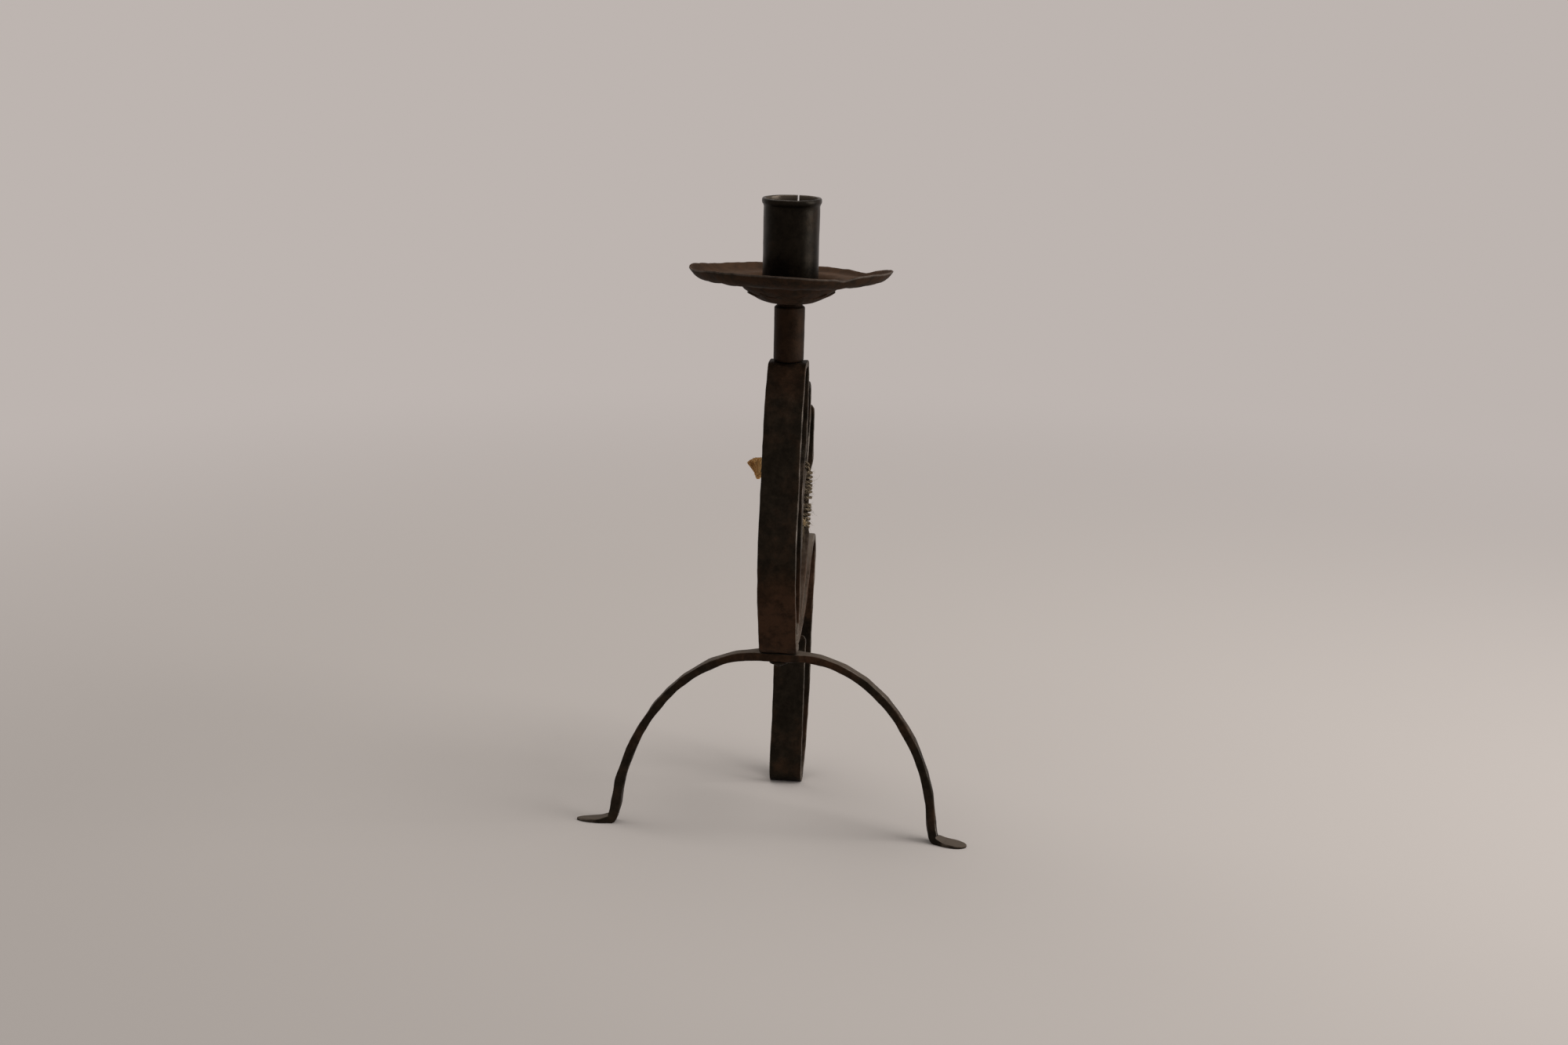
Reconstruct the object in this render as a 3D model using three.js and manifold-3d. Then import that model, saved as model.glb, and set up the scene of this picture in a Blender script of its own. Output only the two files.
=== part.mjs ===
// A wrought iron candlestick: flat-bar leaves spring from one riveted joint on a bent front arch.
// The front leaf is a closed loop that carries a post, a drip pan and a rolled candle cup.
// The rearmost bar comes down to the floor as the third foot. Twine ties the two free leaves.
// Sizes are in millimetres, Z is up, and the front of the candlestick faces -Y.
import * as THREE from "three";
import { mergeVertices } from "three/addons/utils/BufferGeometryUtils.js";
import Module from "manifold-3d";

const wasm = await Module();
wasm.setup();

// Fits
const seatGap = 0.3; // left between two pieces that touch
const holePlay = 0.6; // hole diameter over shank diameter

// Flat bar of the leaves
const barWidth = 18;
const barThickness = 3;
const barChamfer = 0.6;
const legTipWidth = 15.5; // the tail bar narrows to this at its last end

// Front arch
const archRise = 81.6; // middle of the bar at the top of the arch
const archHalfSpan = 78; // from the middle to a heel
const archBar = 3.8; // thickness of the bar
const archBarWidth = 5.6; // of the bar, from front to back
const archBossWidth = 8.6; // the bar spreads to this under the joint
const archPower = 1.95; // 2 is an ellipse, more is squarer
const archDepth = -14.4; // of the joint, before the candle's axis
const footDepth = -37.5; // the legs lean forward to here
const toeLength = 17;
const toeWidth = 8;
const toeThickness = 1.7;
const rightToeTurn = 0.24; // the right toe points this far to the front, in radians

// Joint and leaf rivets
const jointRivet = 3;
const leafRivet = 3;
const rivetHeadRatio = 1.6; // head over shank
const jointWasherDiameter = 9.2;
const washerThickness = 1.2;

// Front loop
const loopRise = 138.2; // from the top of the arch to the middle of the bar at the top of the loop
const loopBulge = 32.3; // its front stands this far before the candle's axis
const loopCrown = 8.7; // half the depth of its top, where the post stands
const loopBackDepth = -9; // of its straight back leg
const seatBend = 5; // size of the bends beside the joint

// The other leaves: rise over the top of the arch, and reach behind the joint
const shortLeafReach = 36;
const longLeafRise = 111;
const longLeafReach = 55.4;
const tailRise = 38.6;
const tailReach = 80.6;
const rearFootReach = 46; // of the rear foot

// Post and candle cup
const postDiameter = 14;
const postHeight = 27;
const tenonDiameter = 6;
const screwDepth = 14; // of the bore in the top of the post
const sheet = 0.9;
const leafWasherRadius = 21.3;
const panRadius = 47.3;
const wellRadius = 23;
const wellDepth = 9;
const wellFlat = 7; // radius of the flat bottom of the well
const wellBowl = 6.7; // rise of its curved wall up to the well's radius
const rimRise = 4.5; // from the ledge round the well to the rim
const panSlant = 3.4; // the rim stands this much higher in front than at the sides
const panWave = 0.9; // uneven height of the rim
const cupDiameter = 25.6;
const cupHeight = 45.7;
const cupBead = 1.1; // the rolled rim stands out by this
const cupFlangeWidth = 3.4; // turned in at the foot
const plateThickness = 2.6;
const cupSlit = 1; // width of the open seam
const cupSlitTurn = 0.13; // the seam is this far to the right of the back, in radians
const screwDiameter = 4;

// Twine
const twine = 1.5;
const twineLift = 0.5; // between the bar and the cord
const twinePitch = 2.05;
const longLeafTurns = 14;
const shortLeafTurns = 2;
const knotRadius = 2.1;

const iron = new THREE.MeshStandardMaterial({ color: 0x2b231e, roughness: 0.7, metalness: 0.8 });
const sheetIron = new THREE.MeshStandardMaterial({ color: 0x4a3b30, roughness: 0.75, metalness: 0.7 });
const jute = new THREE.MeshStandardMaterial({ color: 0xb79a6a, roughness: 1, metalness: 0 });

const X = new THREE.Vector3(1, 0, 0);
const Y = new THREE.Vector3(0, 1, 0);
const Z = new THREE.Vector3(0, 0, 1);

const archTop = archRise + archBar / 2;
const group = new THREE.Group();

function place(name, geometry, material) {
  geometry.computeVertexNormals();
  const mesh = new THREE.Mesh(geometry, material);
  mesh.name = name;
  group.add(mesh);
}

// Solids for cutting

function solid(geometry) {
  const bare = geometry.clone();
  bare.deleteAttribute("normal");
  bare.deleteAttribute("uv");
  const merged = mergeVertices(bare, 1e-4);
  return new wasm.Manifold(
    new wasm.Mesh({
      numProp: 3,
      vertProperties: merged.attributes.position.array,
      triVerts: new Uint32Array(merged.index.array),
    }),
  );
}

function cut(geometry, ...tools) {
  const left = tools.reduce((body, tool) => body.subtract(solid(tool)), solid(geometry));
  const mesh = left.getMesh();
  const result = new THREE.BufferGeometry();
  result.setAttribute("position", new THREE.BufferAttribute(mesh.vertProperties, 3));
  result.setIndex(new THREE.BufferAttribute(mesh.triVerts, 1));
  return result;
}

// A drill along an axis, centred on a point
function drill(diameter, length, axis, at) {
  const tool = new THREE.CylinderGeometry(diameter / 2, diameter / 2, length, 20);
  const turn = new THREE.Quaternion().setFromUnitVectors(Y, axis);
  return tool.applyQuaternion(turn).translate(at.x, at.y, at.z);
}

// Skins

function signedVolume(points, faces) {
  let sum = 0;
  for (let i = 0; i < faces.length; i += 3) {
    const [a, b, c] = [points[faces[i]], points[faces[i + 1]], points[faces[i + 2]]];
    sum += a.dot(b.clone().cross(c));
  }
  return sum;
}

// A skin over rings of equal length. An open row is closed by the two section outlines given.
function skin(rings, firstOutline, lastOutline) {
  const count = rings[0].length;
  const points = rings.flat();
  const open = firstOutline !== undefined;
  const faces = [];
  const rows = open ? rings.length - 1 : rings.length;
  for (let i = 0; i < rows; i++) {
    const here = i * count;
    const next = ((i + 1) % rings.length) * count;
    for (let j = 0; j < count; j++) {
      const k = (j + 1) % count;
      faces.push(here + j, here + k, next + k, here + j, next + k, next + j);
    }
  }
  if (open) {
    const base = (rings.length - 1) * count;
    const clockwise = THREE.ShapeUtils.isClockWise(firstOutline);
    for (const [a, b, c] of THREE.ShapeUtils.triangulateShape(firstOutline, [])) {
      faces.push(...(clockwise ? [a, b, c] : [a, c, b]));
    }
    for (const [a, b, c] of THREE.ShapeUtils.triangulateShape(lastOutline, [])) {
      faces.push(...(clockwise ? [base + a, base + c, base + b] : [base + a, base + b, base + c]));
    }
  }
  if (signedVolume(points, faces) < 0) faces.reverse();
  const geometry = new THREE.BufferGeometry().setFromPoints(points);
  geometry.setIndex(faces);
  return geometry;
}

// Stations along a curve, close together where it bends and far apart where it is straight
function stations(curve, roundedEnd = 0, turnPerStep = 0.2, longestStep = 9) {
  const steps = 500;
  const length = curve.getLength();
  const fine = curve.getSpacedPoints(steps);
  const kept = [0];
  let bend = 0;
  let run = 0;
  for (let i = 1; i < steps; i++) {
    const before = fine[i].clone().sub(fine[i - 1]);
    const after = fine[i + 1].clone().sub(fine[i]);
    bend += before.angleTo(after);
    run += before.length();
    const fromEnd = (Math.min(i, steps - i) / steps) * length;
    if (bend > turnPerStep || run > (fromEnd < roundedEnd ? roundedEnd / 6 : longestStep)) {
      kept.push(i);
      bend = 0;
      run = 0;
    }
  }
  kept.push(steps);
  return kept.map((i) => {
    const tangent = fine[Math.min(i + 1, steps)].clone().sub(fine[Math.max(i - 1, 0)]).normalize();
    return { share: i / steps, point: fine[i], tangent };
  });
}

function barOutline(width, thickness, chamfer) {
  const w = width / 2;
  const t = thickness / 2;
  const c = Math.min(chamfer, 0.4 * t, 0.4 * w);
  return [
    [w - c, -t],
    [w, -t + c],
    [w, t - c],
    [w - c, t],
    [c - w, t],
    [-w, t - c],
    [-w, c - t],
    [c - w, -t],
  ].map(([x, y]) => new THREE.Vector2(x, y));
}

// A bar bent along a curve. Its width lies as near to the given direction as the curve allows.
function bentBar(curve, across, outlineAt, roundedEnd) {
  const row = stations(curve, roundedEnd);
  const outlines = row.map((station) => outlineAt(station.share));
  const rings = row.map(({ point, tangent }, i) => {
    const wide = across.clone().addScaledVector(tangent, -across.dot(tangent)).normalize();
    const thick = tangent.clone().cross(wide);
    return outlines[i].map((p) => point.clone().addScaledVector(wide, p.x).addScaledVector(thick, p.y));
  });
  return skin(rings, outlines[0], outlines[outlines.length - 1]);
}

// A piece turned about an upright axis, whose outline of radius and height may change with the angle
function turned(outlineAt, steps, from = 0, to = 2 * Math.PI) {
  const whole = to - from > 2 * Math.PI - 1e-6;
  const count = whole ? steps : steps + 1;
  const rings = [];
  for (let i = 0; i < count; i++) {
    const angle = from + ((to - from) * i) / steps;
    const ring = outlineAt(angle).map(
      ([radius, height]) => new THREE.Vector3(radius * Math.sin(angle), -radius * Math.cos(angle), height),
    );
    rings.push(ring);
  }
  if (whole) return skin(rings);
  const ends = [from, to].map((angle) => outlineAt(angle).map(([r, h]) => new THREE.Vector2(r, h)));
  return skin(rings, ends[0], ends[1]);
}

function smooth(low, high, value) {
  return THREE.MathUtils.smoothstep(value, low, high);
}

// Leaves: curves in the middle plane, given as depth behind the candle's axis and height

function sideCurve(points) {
  const line = points.map(([depth, height]) => new THREE.Vector3(0, depth, height));
  return new THREE.CatmullRomCurve3(line, false, "centripetal");
}

const fullBar = () => barOutline(barWidth, barThickness, barChamfer);
const layer = barThickness + seatGap;
const frontEnd = archDepth - 0.6 * seatBend;

// Heights of the layers that the joint rivet holds, at the middle of each bar. The loop's front comes down
// to the arch and folds under the others, and its back leg sits on top of them.
const loopFrontSeat = archTop + layer - barThickness / 2;
const tailSeat = loopFrontSeat + layer;
const longLeafSeat = tailSeat + layer;
const loopBackSeat = longLeafSeat + layer;

// Bends given as shares of a reach and of a rise, from a depth and a height
function bends(fromDepth, reach, fromHeight, rise, shares) {
  return shares.map(([depth, height]) => [fromDepth + depth * reach, fromHeight + height * rise]);
}

const loopCurve = sideCurve([
  ...bends(archDepth, seatBend, loopFrontSeat, seatBend, [
    [0.88, 0],
    [0.04, 0],
    [-0.44, 0],
    [-1.06, 0.24],
    [-1.34, 0.8],
  ]),
  ...bends(0, -loopBulge, archTop, loopRise, [
    [0.824, 0.155],
    [0.944, 0.232],
    [1, 0.326],
    [0.997, 0.412],
    [0.907, 0.499],
    [0.811, 0.579],
    [0.625, 0.774],
    [0.443, 0.89],
  ]),
  ...bends(0, loopCrown, archTop + loopRise, -loopCrown, [
    [-1.06, 0.6],
    [-0.76, 0.15],
    [-0.5, 0.017],
    [-0.23, 0],
    [0.23, 0],
    [0.5, 0.017],
    [0.75, 0.15],
    [0.94, 0.6],
  ]),
  ...bends(loopBackDepth, loopCrown - loopBackDepth, archTop, loopRise, [
    [1, 0.876],
    [0.955, 0.781],
    [0.768, 0.709],
    [0.395, 0.637],
    [0.085, 0.575],
    [0, 0.507],
    [0, 0.449],
    [0, 0.289],
  ]),
  ...bends(loopBackDepth, seatBend, loopBackSeat, seatBend, [
    [0, 1.8],
    [0, 0.76],
    [-0.2, 0.22],
    [-0.68, 0],
  ]),
  [archDepth - 0.56 * seatBend, loopBackSeat],
]);

const shortLeafDepth = loopBackDepth + layer;
const shortLeafCurve = sideCurve(
  bends(shortLeafDepth, shortLeafReach + archDepth - shortLeafDepth, archTop, loopRise, [
    [0, 0.355],
    [0, 0.42],
    [0, 0.47],
    [0.088, 0.521],
    [0.246, 0.572],
    [0.488, 0.619],
    [0.74, 0.676],
    [0.905, 0.731],
    [0.985, 0.789],
    [1, 0.839],
    [0.941, 0.887],
    [0.802, 0.919],
  ]),
);

const longLeafCurve = sideCurve([
  [frontEnd, longLeafSeat],
  [archDepth + 0.92 * seatBend, longLeafSeat],
  [archDepth + 1.12 * seatBend, longLeafSeat],
  ...bends(archDepth, longLeafReach, archTop, longLeafRise, [
    [0.177, 0.098],
    [0.282, 0.143],
    [0.395, 0.19],
    [0.495, 0.238],
    [0.603, 0.306],
    [0.747, 0.391],
    [0.865, 0.474],
    [0.946, 0.571],
    [0.986, 0.703],
    [0.982, 0.865],
    [1, 1],
  ]),
]);

const tailCurve = sideCurve([
  [frontEnd, tailSeat],
  [archDepth + 1.88 * seatBend, tailSeat],
  [archDepth + 2.12 * seatBend, tailSeat],
  ...bends(archDepth, tailReach, archTop, tailRise, [
    [0.203, 0.166],
    [0.283, 0.224],
    [0.377, 0.31],
    [0.507, 0.456],
    [0.65, 0.71],
    [0.774, 0.902],
    [0.873, 1],
    [0.953, 0.969],
    [1, 0.819],
    [0.999, 0.606],
    [0.96, 0.358],
    [0.913, 0.078],
  ]),
  ...bends(archDepth, tailReach, 0, archTop, [
    [0.882, 0.88],
    [0.876, 0.659],
    [0.851, 0.443],
    [0.784, 0.24],
    [0.692, 0.103],
  ]),
  ...bends(archDepth, rearFootReach, barThickness, barThickness, [
    [1.1, 0],
    [1, -0.7],
    [0.913, 0.2],
  ]),
  ...bends(archDepth, rearFootReach, 0, archTop, [
    [0.9, 0.132],
    [0.974, 0.335],
    [1.026, 0.539],
    [1.074, 0.719],
    [1.17, 0.904],
  ]),
]);

const jointAt = new THREE.Vector3(0, archDepth, archTop);
const jointDrill = drill(jointRivet + holePlay, 4 * (loopBackSeat - archRise), Z, jointAt);
const shortRivetAt = new THREE.Vector3(0, loopBackDepth + layer / 2, archTop + 0.412 * loopRise);
const shortLeafDrill = drill(leafRivet + holePlay, 4 * layer, Y, shortRivetAt);
const loopTop = archTop + loopRise + barThickness / 2;
const tenonDrill = drill(tenonDiameter + holePlay, 3 * barThickness, Z, new THREE.Vector3(0, 0, loopTop));
// The feet are filed flat where they stand
const floorCut = new THREE.BoxGeometry(4 * archHalfSpan, 4 * archHalfSpan, archRise);
floorCut.translate(0, 0, -archRise / 2);

place("stem_loop", cut(bentBar(loopCurve, X, fullBar), jointDrill, shortLeafDrill, tenonDrill), iron);
place("short_leaf", cut(bentBar(shortLeafCurve, X, fullBar), shortLeafDrill), iron);
place("long_leaf", cut(bentBar(longLeafCurve, X, fullBar), jointDrill), iron);

function tailOutline(share) {
  const width = THREE.MathUtils.lerp(barWidth, legTipWidth, smooth(0.3, 0.95, share));
  return barOutline(width, barThickness, barChamfer);
}
place("tail_leg", cut(bentBar(tailCurve, X, tailOutline), jointDrill, floorCut), iron);

// Front arch: one flat bar with a spread top and two flattened toes

function archCurve() {
  const flat = 0.55 * barWidth;
  const half = [
    [0, archRise],
    [0.9 * flat, archRise],
  ];
  const sweeps = 9;
  for (let i = 0; i < sweeps; i++) {
    const angle = (Math.PI / 2) * (1 - (0.95 * i) / (sweeps - 1));
    const x = flat + (archHalfSpan - flat) * Math.cos(angle) ** (2 / archPower);
    const z = archRise * Math.sin(angle) ** (2 / archPower);
    half.push([x, z]);
  }
  half.push([archHalfSpan + 0.12 * toeLength, 0.85 * toeThickness]);
  half.push([archHalfSpan + 0.3 * toeLength, toeThickness / 2]);
  half.push([archHalfSpan + 0.6 * toeLength, toeThickness / 2]);
  half.push([archHalfSpan + toeLength, toeThickness / 2]);
  const overToe = (z) => Math.max(z - toeThickness / 2, 0);
  const lean = (z) => THREE.MathUtils.lerp(footDepth, archDepth, overToe(z) / archRise);
  const toeTurn = (x) => Math.max(x - archHalfSpan, 0) * Math.tan(rightToeTurn);
  const right = half.map(([x, z]) => new THREE.Vector3(x, lean(z) - toeTurn(x), z));
  const left = half.slice(1).map(([x, z]) => new THREE.Vector3(-x, lean(z), z));
  return new THREE.CatmullRomCurve3([...left.reverse(), ...right], false, "centripetal");
}

const toeRound = 0.6 * toeWidth;
const archLine = archCurve();
const archLength = archLine.getLength();

function archOutline(share) {
  const fromTip = (0.5 - Math.abs(share - 0.5)) * archLength;
  const fromTop = Math.abs(share - 0.5) * archLength;
  const onToe = 1 - smooth(0.76 * toeLength, 1.3 * toeLength, fromTip);
  const boss = 1 - smooth(0.22 * barWidth, 0.78 * barWidth, fromTop);
  const roundEnd = Math.sqrt(1 - (1 - Math.min(fromTip / toeRound, 1)) ** 2);
  const plain = THREE.MathUtils.lerp(archBarWidth, archBossWidth, boss);
  const width = THREE.MathUtils.lerp(plain, toeWidth, onToe) * Math.max(roundEnd, 0.3);
  const thickness = THREE.MathUtils.lerp(archBar, toeThickness, onToe);
  return barOutline(width, thickness, barChamfer);
}

place("front_arch", cut(bentBar(archLine, Y, archOutline, toeRound), jointDrill, floorCut), iron);

// Rivets, washer and post: closed outlines of radius and height turned about the axis

function rivet(shank, length) {
  const head = (shank * rivetHeadRatio) / 2;
  const rise = 0.55 * shank;
  return new THREE.LatheGeometry(
    [
      [0, -length / 2 - rise],
      [0.55 * head, -length / 2 - 0.85 * rise],
      [head, -length / 2 - 0.3 * rise],
      [head, -length / 2],
      [shank / 2, -length / 2],
      [shank / 2, length / 2],
      [head, length / 2],
      [head, length / 2 + 0.3 * rise],
      [0.55 * head, length / 2 + 0.85 * rise],
      [0, length / 2 + rise],
    ].map(([r, h]) => new THREE.Vector2(r, h)),
    18,
  );
}

const washerTop = archRise - archBar / 2 - seatGap;
const jointUpper = loopBackSeat + barThickness / 2 + seatGap;
const jointLower = washerTop - washerThickness - seatGap;
const uprightJoint = rivet(jointRivet, jointUpper - jointLower).rotateX(Math.PI / 2);
uprightJoint.translate(0, archDepth, (jointUpper + jointLower) / 2);
place("joint_rivet", uprightJoint, iron);

const washerHole = (jointRivet + holePlay) / 2;
const washer = turned(
  () => [
    [washerHole, washerTop - washerThickness],
    [jointWasherDiameter / 2, washerTop - washerThickness],
    [jointWasherDiameter / 2, washerTop],
    [washerHole, washerTop],
  ],
  24,
);
place("joint_washer", washer.translate(0, archDepth, 0), iron);

const leafGrip = 2 * barThickness + 3 * seatGap;
place("short_leaf_rivet", rivet(leafRivet, leafGrip).translate(...shortRivetAt.toArray()), iron);

const postFoot = loopTop + seatGap;
const postTop = postFoot + postHeight;
const boreRadius = (screwDiameter + holePlay) / 2;
const boreFloor = postTop - screwDepth;
const tenonFoot = loopTop - barThickness - seatGap;
const postRadius = postDiameter / 2;
const tenonRadius = tenonDiameter / 2;
const post = turned(
  () => [
    [0, tenonFoot - 0.6 * tenonRadius],
    [0.87 * tenonRadius, tenonFoot - 0.53 * tenonRadius],
    [1.43 * tenonRadius, tenonFoot - 0.17 * tenonRadius],
    [1.43 * tenonRadius, tenonFoot],
    [tenonRadius, tenonFoot],
    [tenonRadius, postFoot],
    [0.94 * postRadius, postFoot],
    [postRadius, postFoot + 0.09 * postRadius],
    [1.03 * postRadius, postTop - 0.37 * postRadius],
    [0.84 * postRadius, postTop],
    [boreRadius, postTop],
    [boreRadius, boreFloor],
    [0, boreFloor - 0.4 * boreRadius],
  ],
  32,
);
place("candle_post", post, iron);

// Sheet pieces on the post

const leafWasherFoot = postTop + seatGap;
const leafWasherTips = 11;

function wellRise(radius) {
  return wellBowl * (Math.max(radius - wellFlat, 0) / (wellRadius - wellFlat)) ** 2;
}

// A sheet's whole outline from its underside, which runs outward from the bore
function thicken(under) {
  const upper = under.map(([radius, height], i) => {
    const [r0, h0] = under[Math.max(i - 1, 0)];
    const [r1, h1] = under[Math.min(i + 1, under.length - 1)];
    const length = Math.hypot(r1 - r0, h1 - h0);
    return [radius - (sheet * (h1 - h0)) / length, height + (sheet * (r1 - r0)) / length];
  });
  return [...under, ...upper.reverse()];
}

function leafWasherOutline(angle) {
  const tooth = Math.abs(Math.sin((leafWasherTips * angle) / 2 + 0.6 * Math.sin(angle + 1)));
  const edge = leafWasherRadius * (0.84 + 0.16 * (1 - tooth) ** 1.4);
  const under = [boreRadius, wellFlat, 0.5 * (wellFlat + edge), 0.25 * wellFlat + 0.75 * edge, edge].map(
    (radius) => [radius, leafWasherFoot + 0.95 * wellRise(radius)],
  );
  return thicken(under);
}
place("leaf_washer", turned(leafWasherOutline, 6 * leafWasherTips), sheetIron);

const panFoot = leafWasherFoot + sheet + seatGap;
const ledge = panFoot + wellDepth;
function panOutline(angle) {
  const sway = 0.48 * Math.sin(2 * angle) - Math.sin(3 * angle) + 0.22 * Math.sin(7 * angle + 1);
  const lobe = (middle) => Math.max(Math.cos(angle - middle), 0) ** 12;
  const wave = panWave * (sway + 2.2 * lobe(-1.6) - 0.9 * lobe(-2.6));
  const uneven = 0.011 * Math.sin(4 * angle + 1) + 0.008 * Math.sin(7 * angle) - 0.016 * lobe(-1.6);
  const rim = panRadius * (1 + uneven);
  const slant = panSlant * Math.cos(angle);
  const wall = [0, 0.31, 0.56, 0.81, 0.96].map((share) => THREE.MathUtils.lerp(wellFlat, wellRadius, share));
  const under = [
    ...[boreRadius, ...wall].map((radius) => [radius, panFoot + wellRise(radius)]),
    [1.065 * wellRadius, ledge - 0.1 * rimRise],
    [0.66 * rim, ledge + 0.02 * rimRise + 0.2 * slant],
    [0.86 * rim, ledge + 0.05 * rimRise + 0.55 * slant + 0.3 * wave],
    [0.94 * rim, ledge + 0.34 * rimRise + 0.8 * slant + 0.7 * wave],
    [rim, ledge + rimRise + slant + wave],
  ];
  return thicken(under);
}
place("drip_pan", turned(panOutline, 54), sheetIron);

// The cup rests on the curved wall of the well
const cupOuter = cupDiameter / 2;
const cupFoot = panFoot + wellRise(cupOuter) + sheet + seatGap;
const cupTop = cupFoot + cupHeight;
const cupInner = cupOuter - sheet;
const cupFlange = cupInner - cupFlangeWidth;
const cupOutline = () => [
  [cupFlange, cupFoot],
  [cupOuter - 0.6 * sheet, cupFoot],
  [cupOuter, cupFoot + 0.6 * sheet],
  [cupOuter - 0.15 * sheet, cupTop - 2.7 * cupBead],
  [cupOuter + 0.75 * cupBead, cupTop - 2.3 * cupBead],
  [cupOuter + cupBead, cupTop - 1.2 * cupBead],
  [cupOuter + 0.7 * cupBead, cupTop - 0.27 * cupBead],
  [cupOuter - 0.2 * sheet, cupTop],
  [cupInner, cupTop - 0.5 * sheet],
  [cupInner, cupFoot + sheet],
  [cupFlange, cupFoot + sheet],
];
const slitHalfAngle = Math.asin(cupSlit / 2 / cupOuter);
const seam = Math.PI - cupSlitTurn;
const cup = turned(cupOutline, 44, seam + slitHalfAngle - 2 * Math.PI, seam - slitHalfAngle);
place("candle_cup", cup, sheetIron);

const plateFoot = cupFoot + sheet + seatGap;
const plateRadius = cupInner - seatGap;
const plateTop = plateFoot + plateThickness;
const screwRadius = screwDiameter / 2;
const headRadius = 2 * screwRadius;
const sinkRadius = headRadius + 2 * seatGap;
const cupPlate = turned(
  () => [
    [boreRadius, plateFoot],
    [plateRadius, plateFoot],
    [plateRadius, plateTop],
    [sinkRadius, plateTop],
    [boreRadius, plateTop - (sinkRadius - boreRadius)],
  ],
  36,
);
place("cup_plate", cupPlate, sheetIron);

// A countersunk screw, a little below the plate's face so that the candle stands on the plate
const headTop = plateTop - 0.7 * seatGap;
const screw = turned(
  () => [
    [0, boreFloor + screwRadius],
    [0.75 * screwRadius, boreFloor + screwRadius],
    [screwRadius, boreFloor + 1.3 * screwRadius],
    [screwRadius, headTop - (headRadius - screwRadius)],
    [headRadius, headTop],
    [0, headTop],
  ],
  24,
);
const screwSlot = new THREE.BoxGeometry(0.45 * screwRadius, 6 * screwRadius, screwRadius);
screwSlot.translate(0, 0, headTop);
place("cup_screw", cut(screw, screwSlot), iron);

// Twine: one cord wound up the long leaf, across to the short leaf and out to a knot on the left

const loopSteps = 24;
const loopEndRadius = barThickness / 2 + twineLift + twine / 2;
const loopHalfFlat = barWidth / 2 + twineLift + twine / 2 - loopEndRadius;

// Place on a loop round the bar after a number of steps: across the bar, and out of its face
function loopPlace(step) {
  const at = ((step % loopSteps) + loopSteps) % loopSteps;
  if (at < 9) {
    const angle = -Math.PI / 2 + (Math.PI * at) / 9;
    return [loopHalfFlat + loopEndRadius * Math.cos(angle), loopEndRadius * Math.sin(angle)];
  }
  if (at < 12) return [loopHalfFlat - (2 * loopHalfFlat * (at - 9)) / 3, loopEndRadius];
  if (at < 21) {
    const angle = Math.PI / 2 + (Math.PI * (at - 12)) / 9;
    return [-loopHalfFlat + loopEndRadius * Math.cos(angle), loopEndRadius * Math.sin(angle)];
  }
  return [-loopHalfFlat + (2 * loopHalfFlat * (at - 21)) / 3, -loopEndRadius];
}

// The share of a curve's length at which it passes a height
function shareAtHeight(curve, height) {
  let low = 0;
  let high = 1;
  for (let i = 0; i < 40; i++) {
    const middle = (low + high) / 2;
    if (curve.getPointAt(middle).z < height) low = middle;
    else high = middle;
  }
  return low;
}

function wound(curve, fromHeight, firstStep, lastStep) {
  const length = curve.getLength();
  const start = shareAtHeight(curve, fromHeight);
  const points = [];
  for (let step = firstStep; step <= lastStep; step++) {
    const share = start + ((step - firstStep) * twinePitch) / loopSteps / length;
    const along = curve.getTangentAt(share);
    const back = X.clone().cross(along).negate();
    const [wide, out] = loopPlace(step);
    points.push(curve.getPointAt(share).addScaledVector(X, wide).addScaledVector(back, out));
  }
  return points;
}

const longWindings = wound(longLeafCurve, archTop + 0.455 * longLeafRise, 0, longLeafTurns * loopSteps);
const shortWindings = wound(shortLeafCurve, archTop + 0.615 * loopRise, 9, shortLeafTurns * loopSteps + 12);
const knotDepth = archDepth + 0.8 * shortLeafReach;
const knotAt = new THREE.Vector3(-0.91 * barWidth, knotDepth, archTop + 0.582 * loopRise);
const lastOfLong = longWindings[longWindings.length - 1];
const firstOfShort = shortWindings[0];
function beside(point, x, y, z) {
  return point.clone().addScaledVector(new THREE.Vector3(x, y, z), twine);
}
const crossing = new THREE.CatmullRomCurve3([
  lastOfLong,
  beside(lastOfLong, 1.1, -0.64, 0.23),
  beside(lastOfLong.clone().lerp(firstOfShort, 0.5), 1.55, 0, -0.9),
  beside(firstOfShort, 1.1, 0.64, -0.73),
  firstOfShort,
]).getSpacedPoints(14);
const lastOfShort = shortWindings[shortWindings.length - 1];
const knotDoorWay = new THREE.Vector3(0.6, 0, 0.8);
const knotDoor = knotAt.clone().addScaledVector(knotDoorWay, knotRadius + seatGap);
const outsideLoops = -(loopHalfFlat + loopEndRadius + 1.3 * twine);
const tail = new THREE.CatmullRomCurve3([
  lastOfShort,
  beside(lastOfShort, -1.36, 0, 0),
  new THREE.Vector3(outsideLoops, lastOfShort.y, lastOfShort.z - 0.9 * twine),
  new THREE.Vector3(outsideLoops, knotAt.y, knotAt.z + 3.1 * knotRadius),
  knotDoor.clone().addScaledVector(knotDoorWay, twine),
  knotDoor,
]).getSpacedPoints(12);
const cord = [...longWindings, ...crossing.slice(1, -1), ...shortWindings, ...tail.slice(1)];

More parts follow.
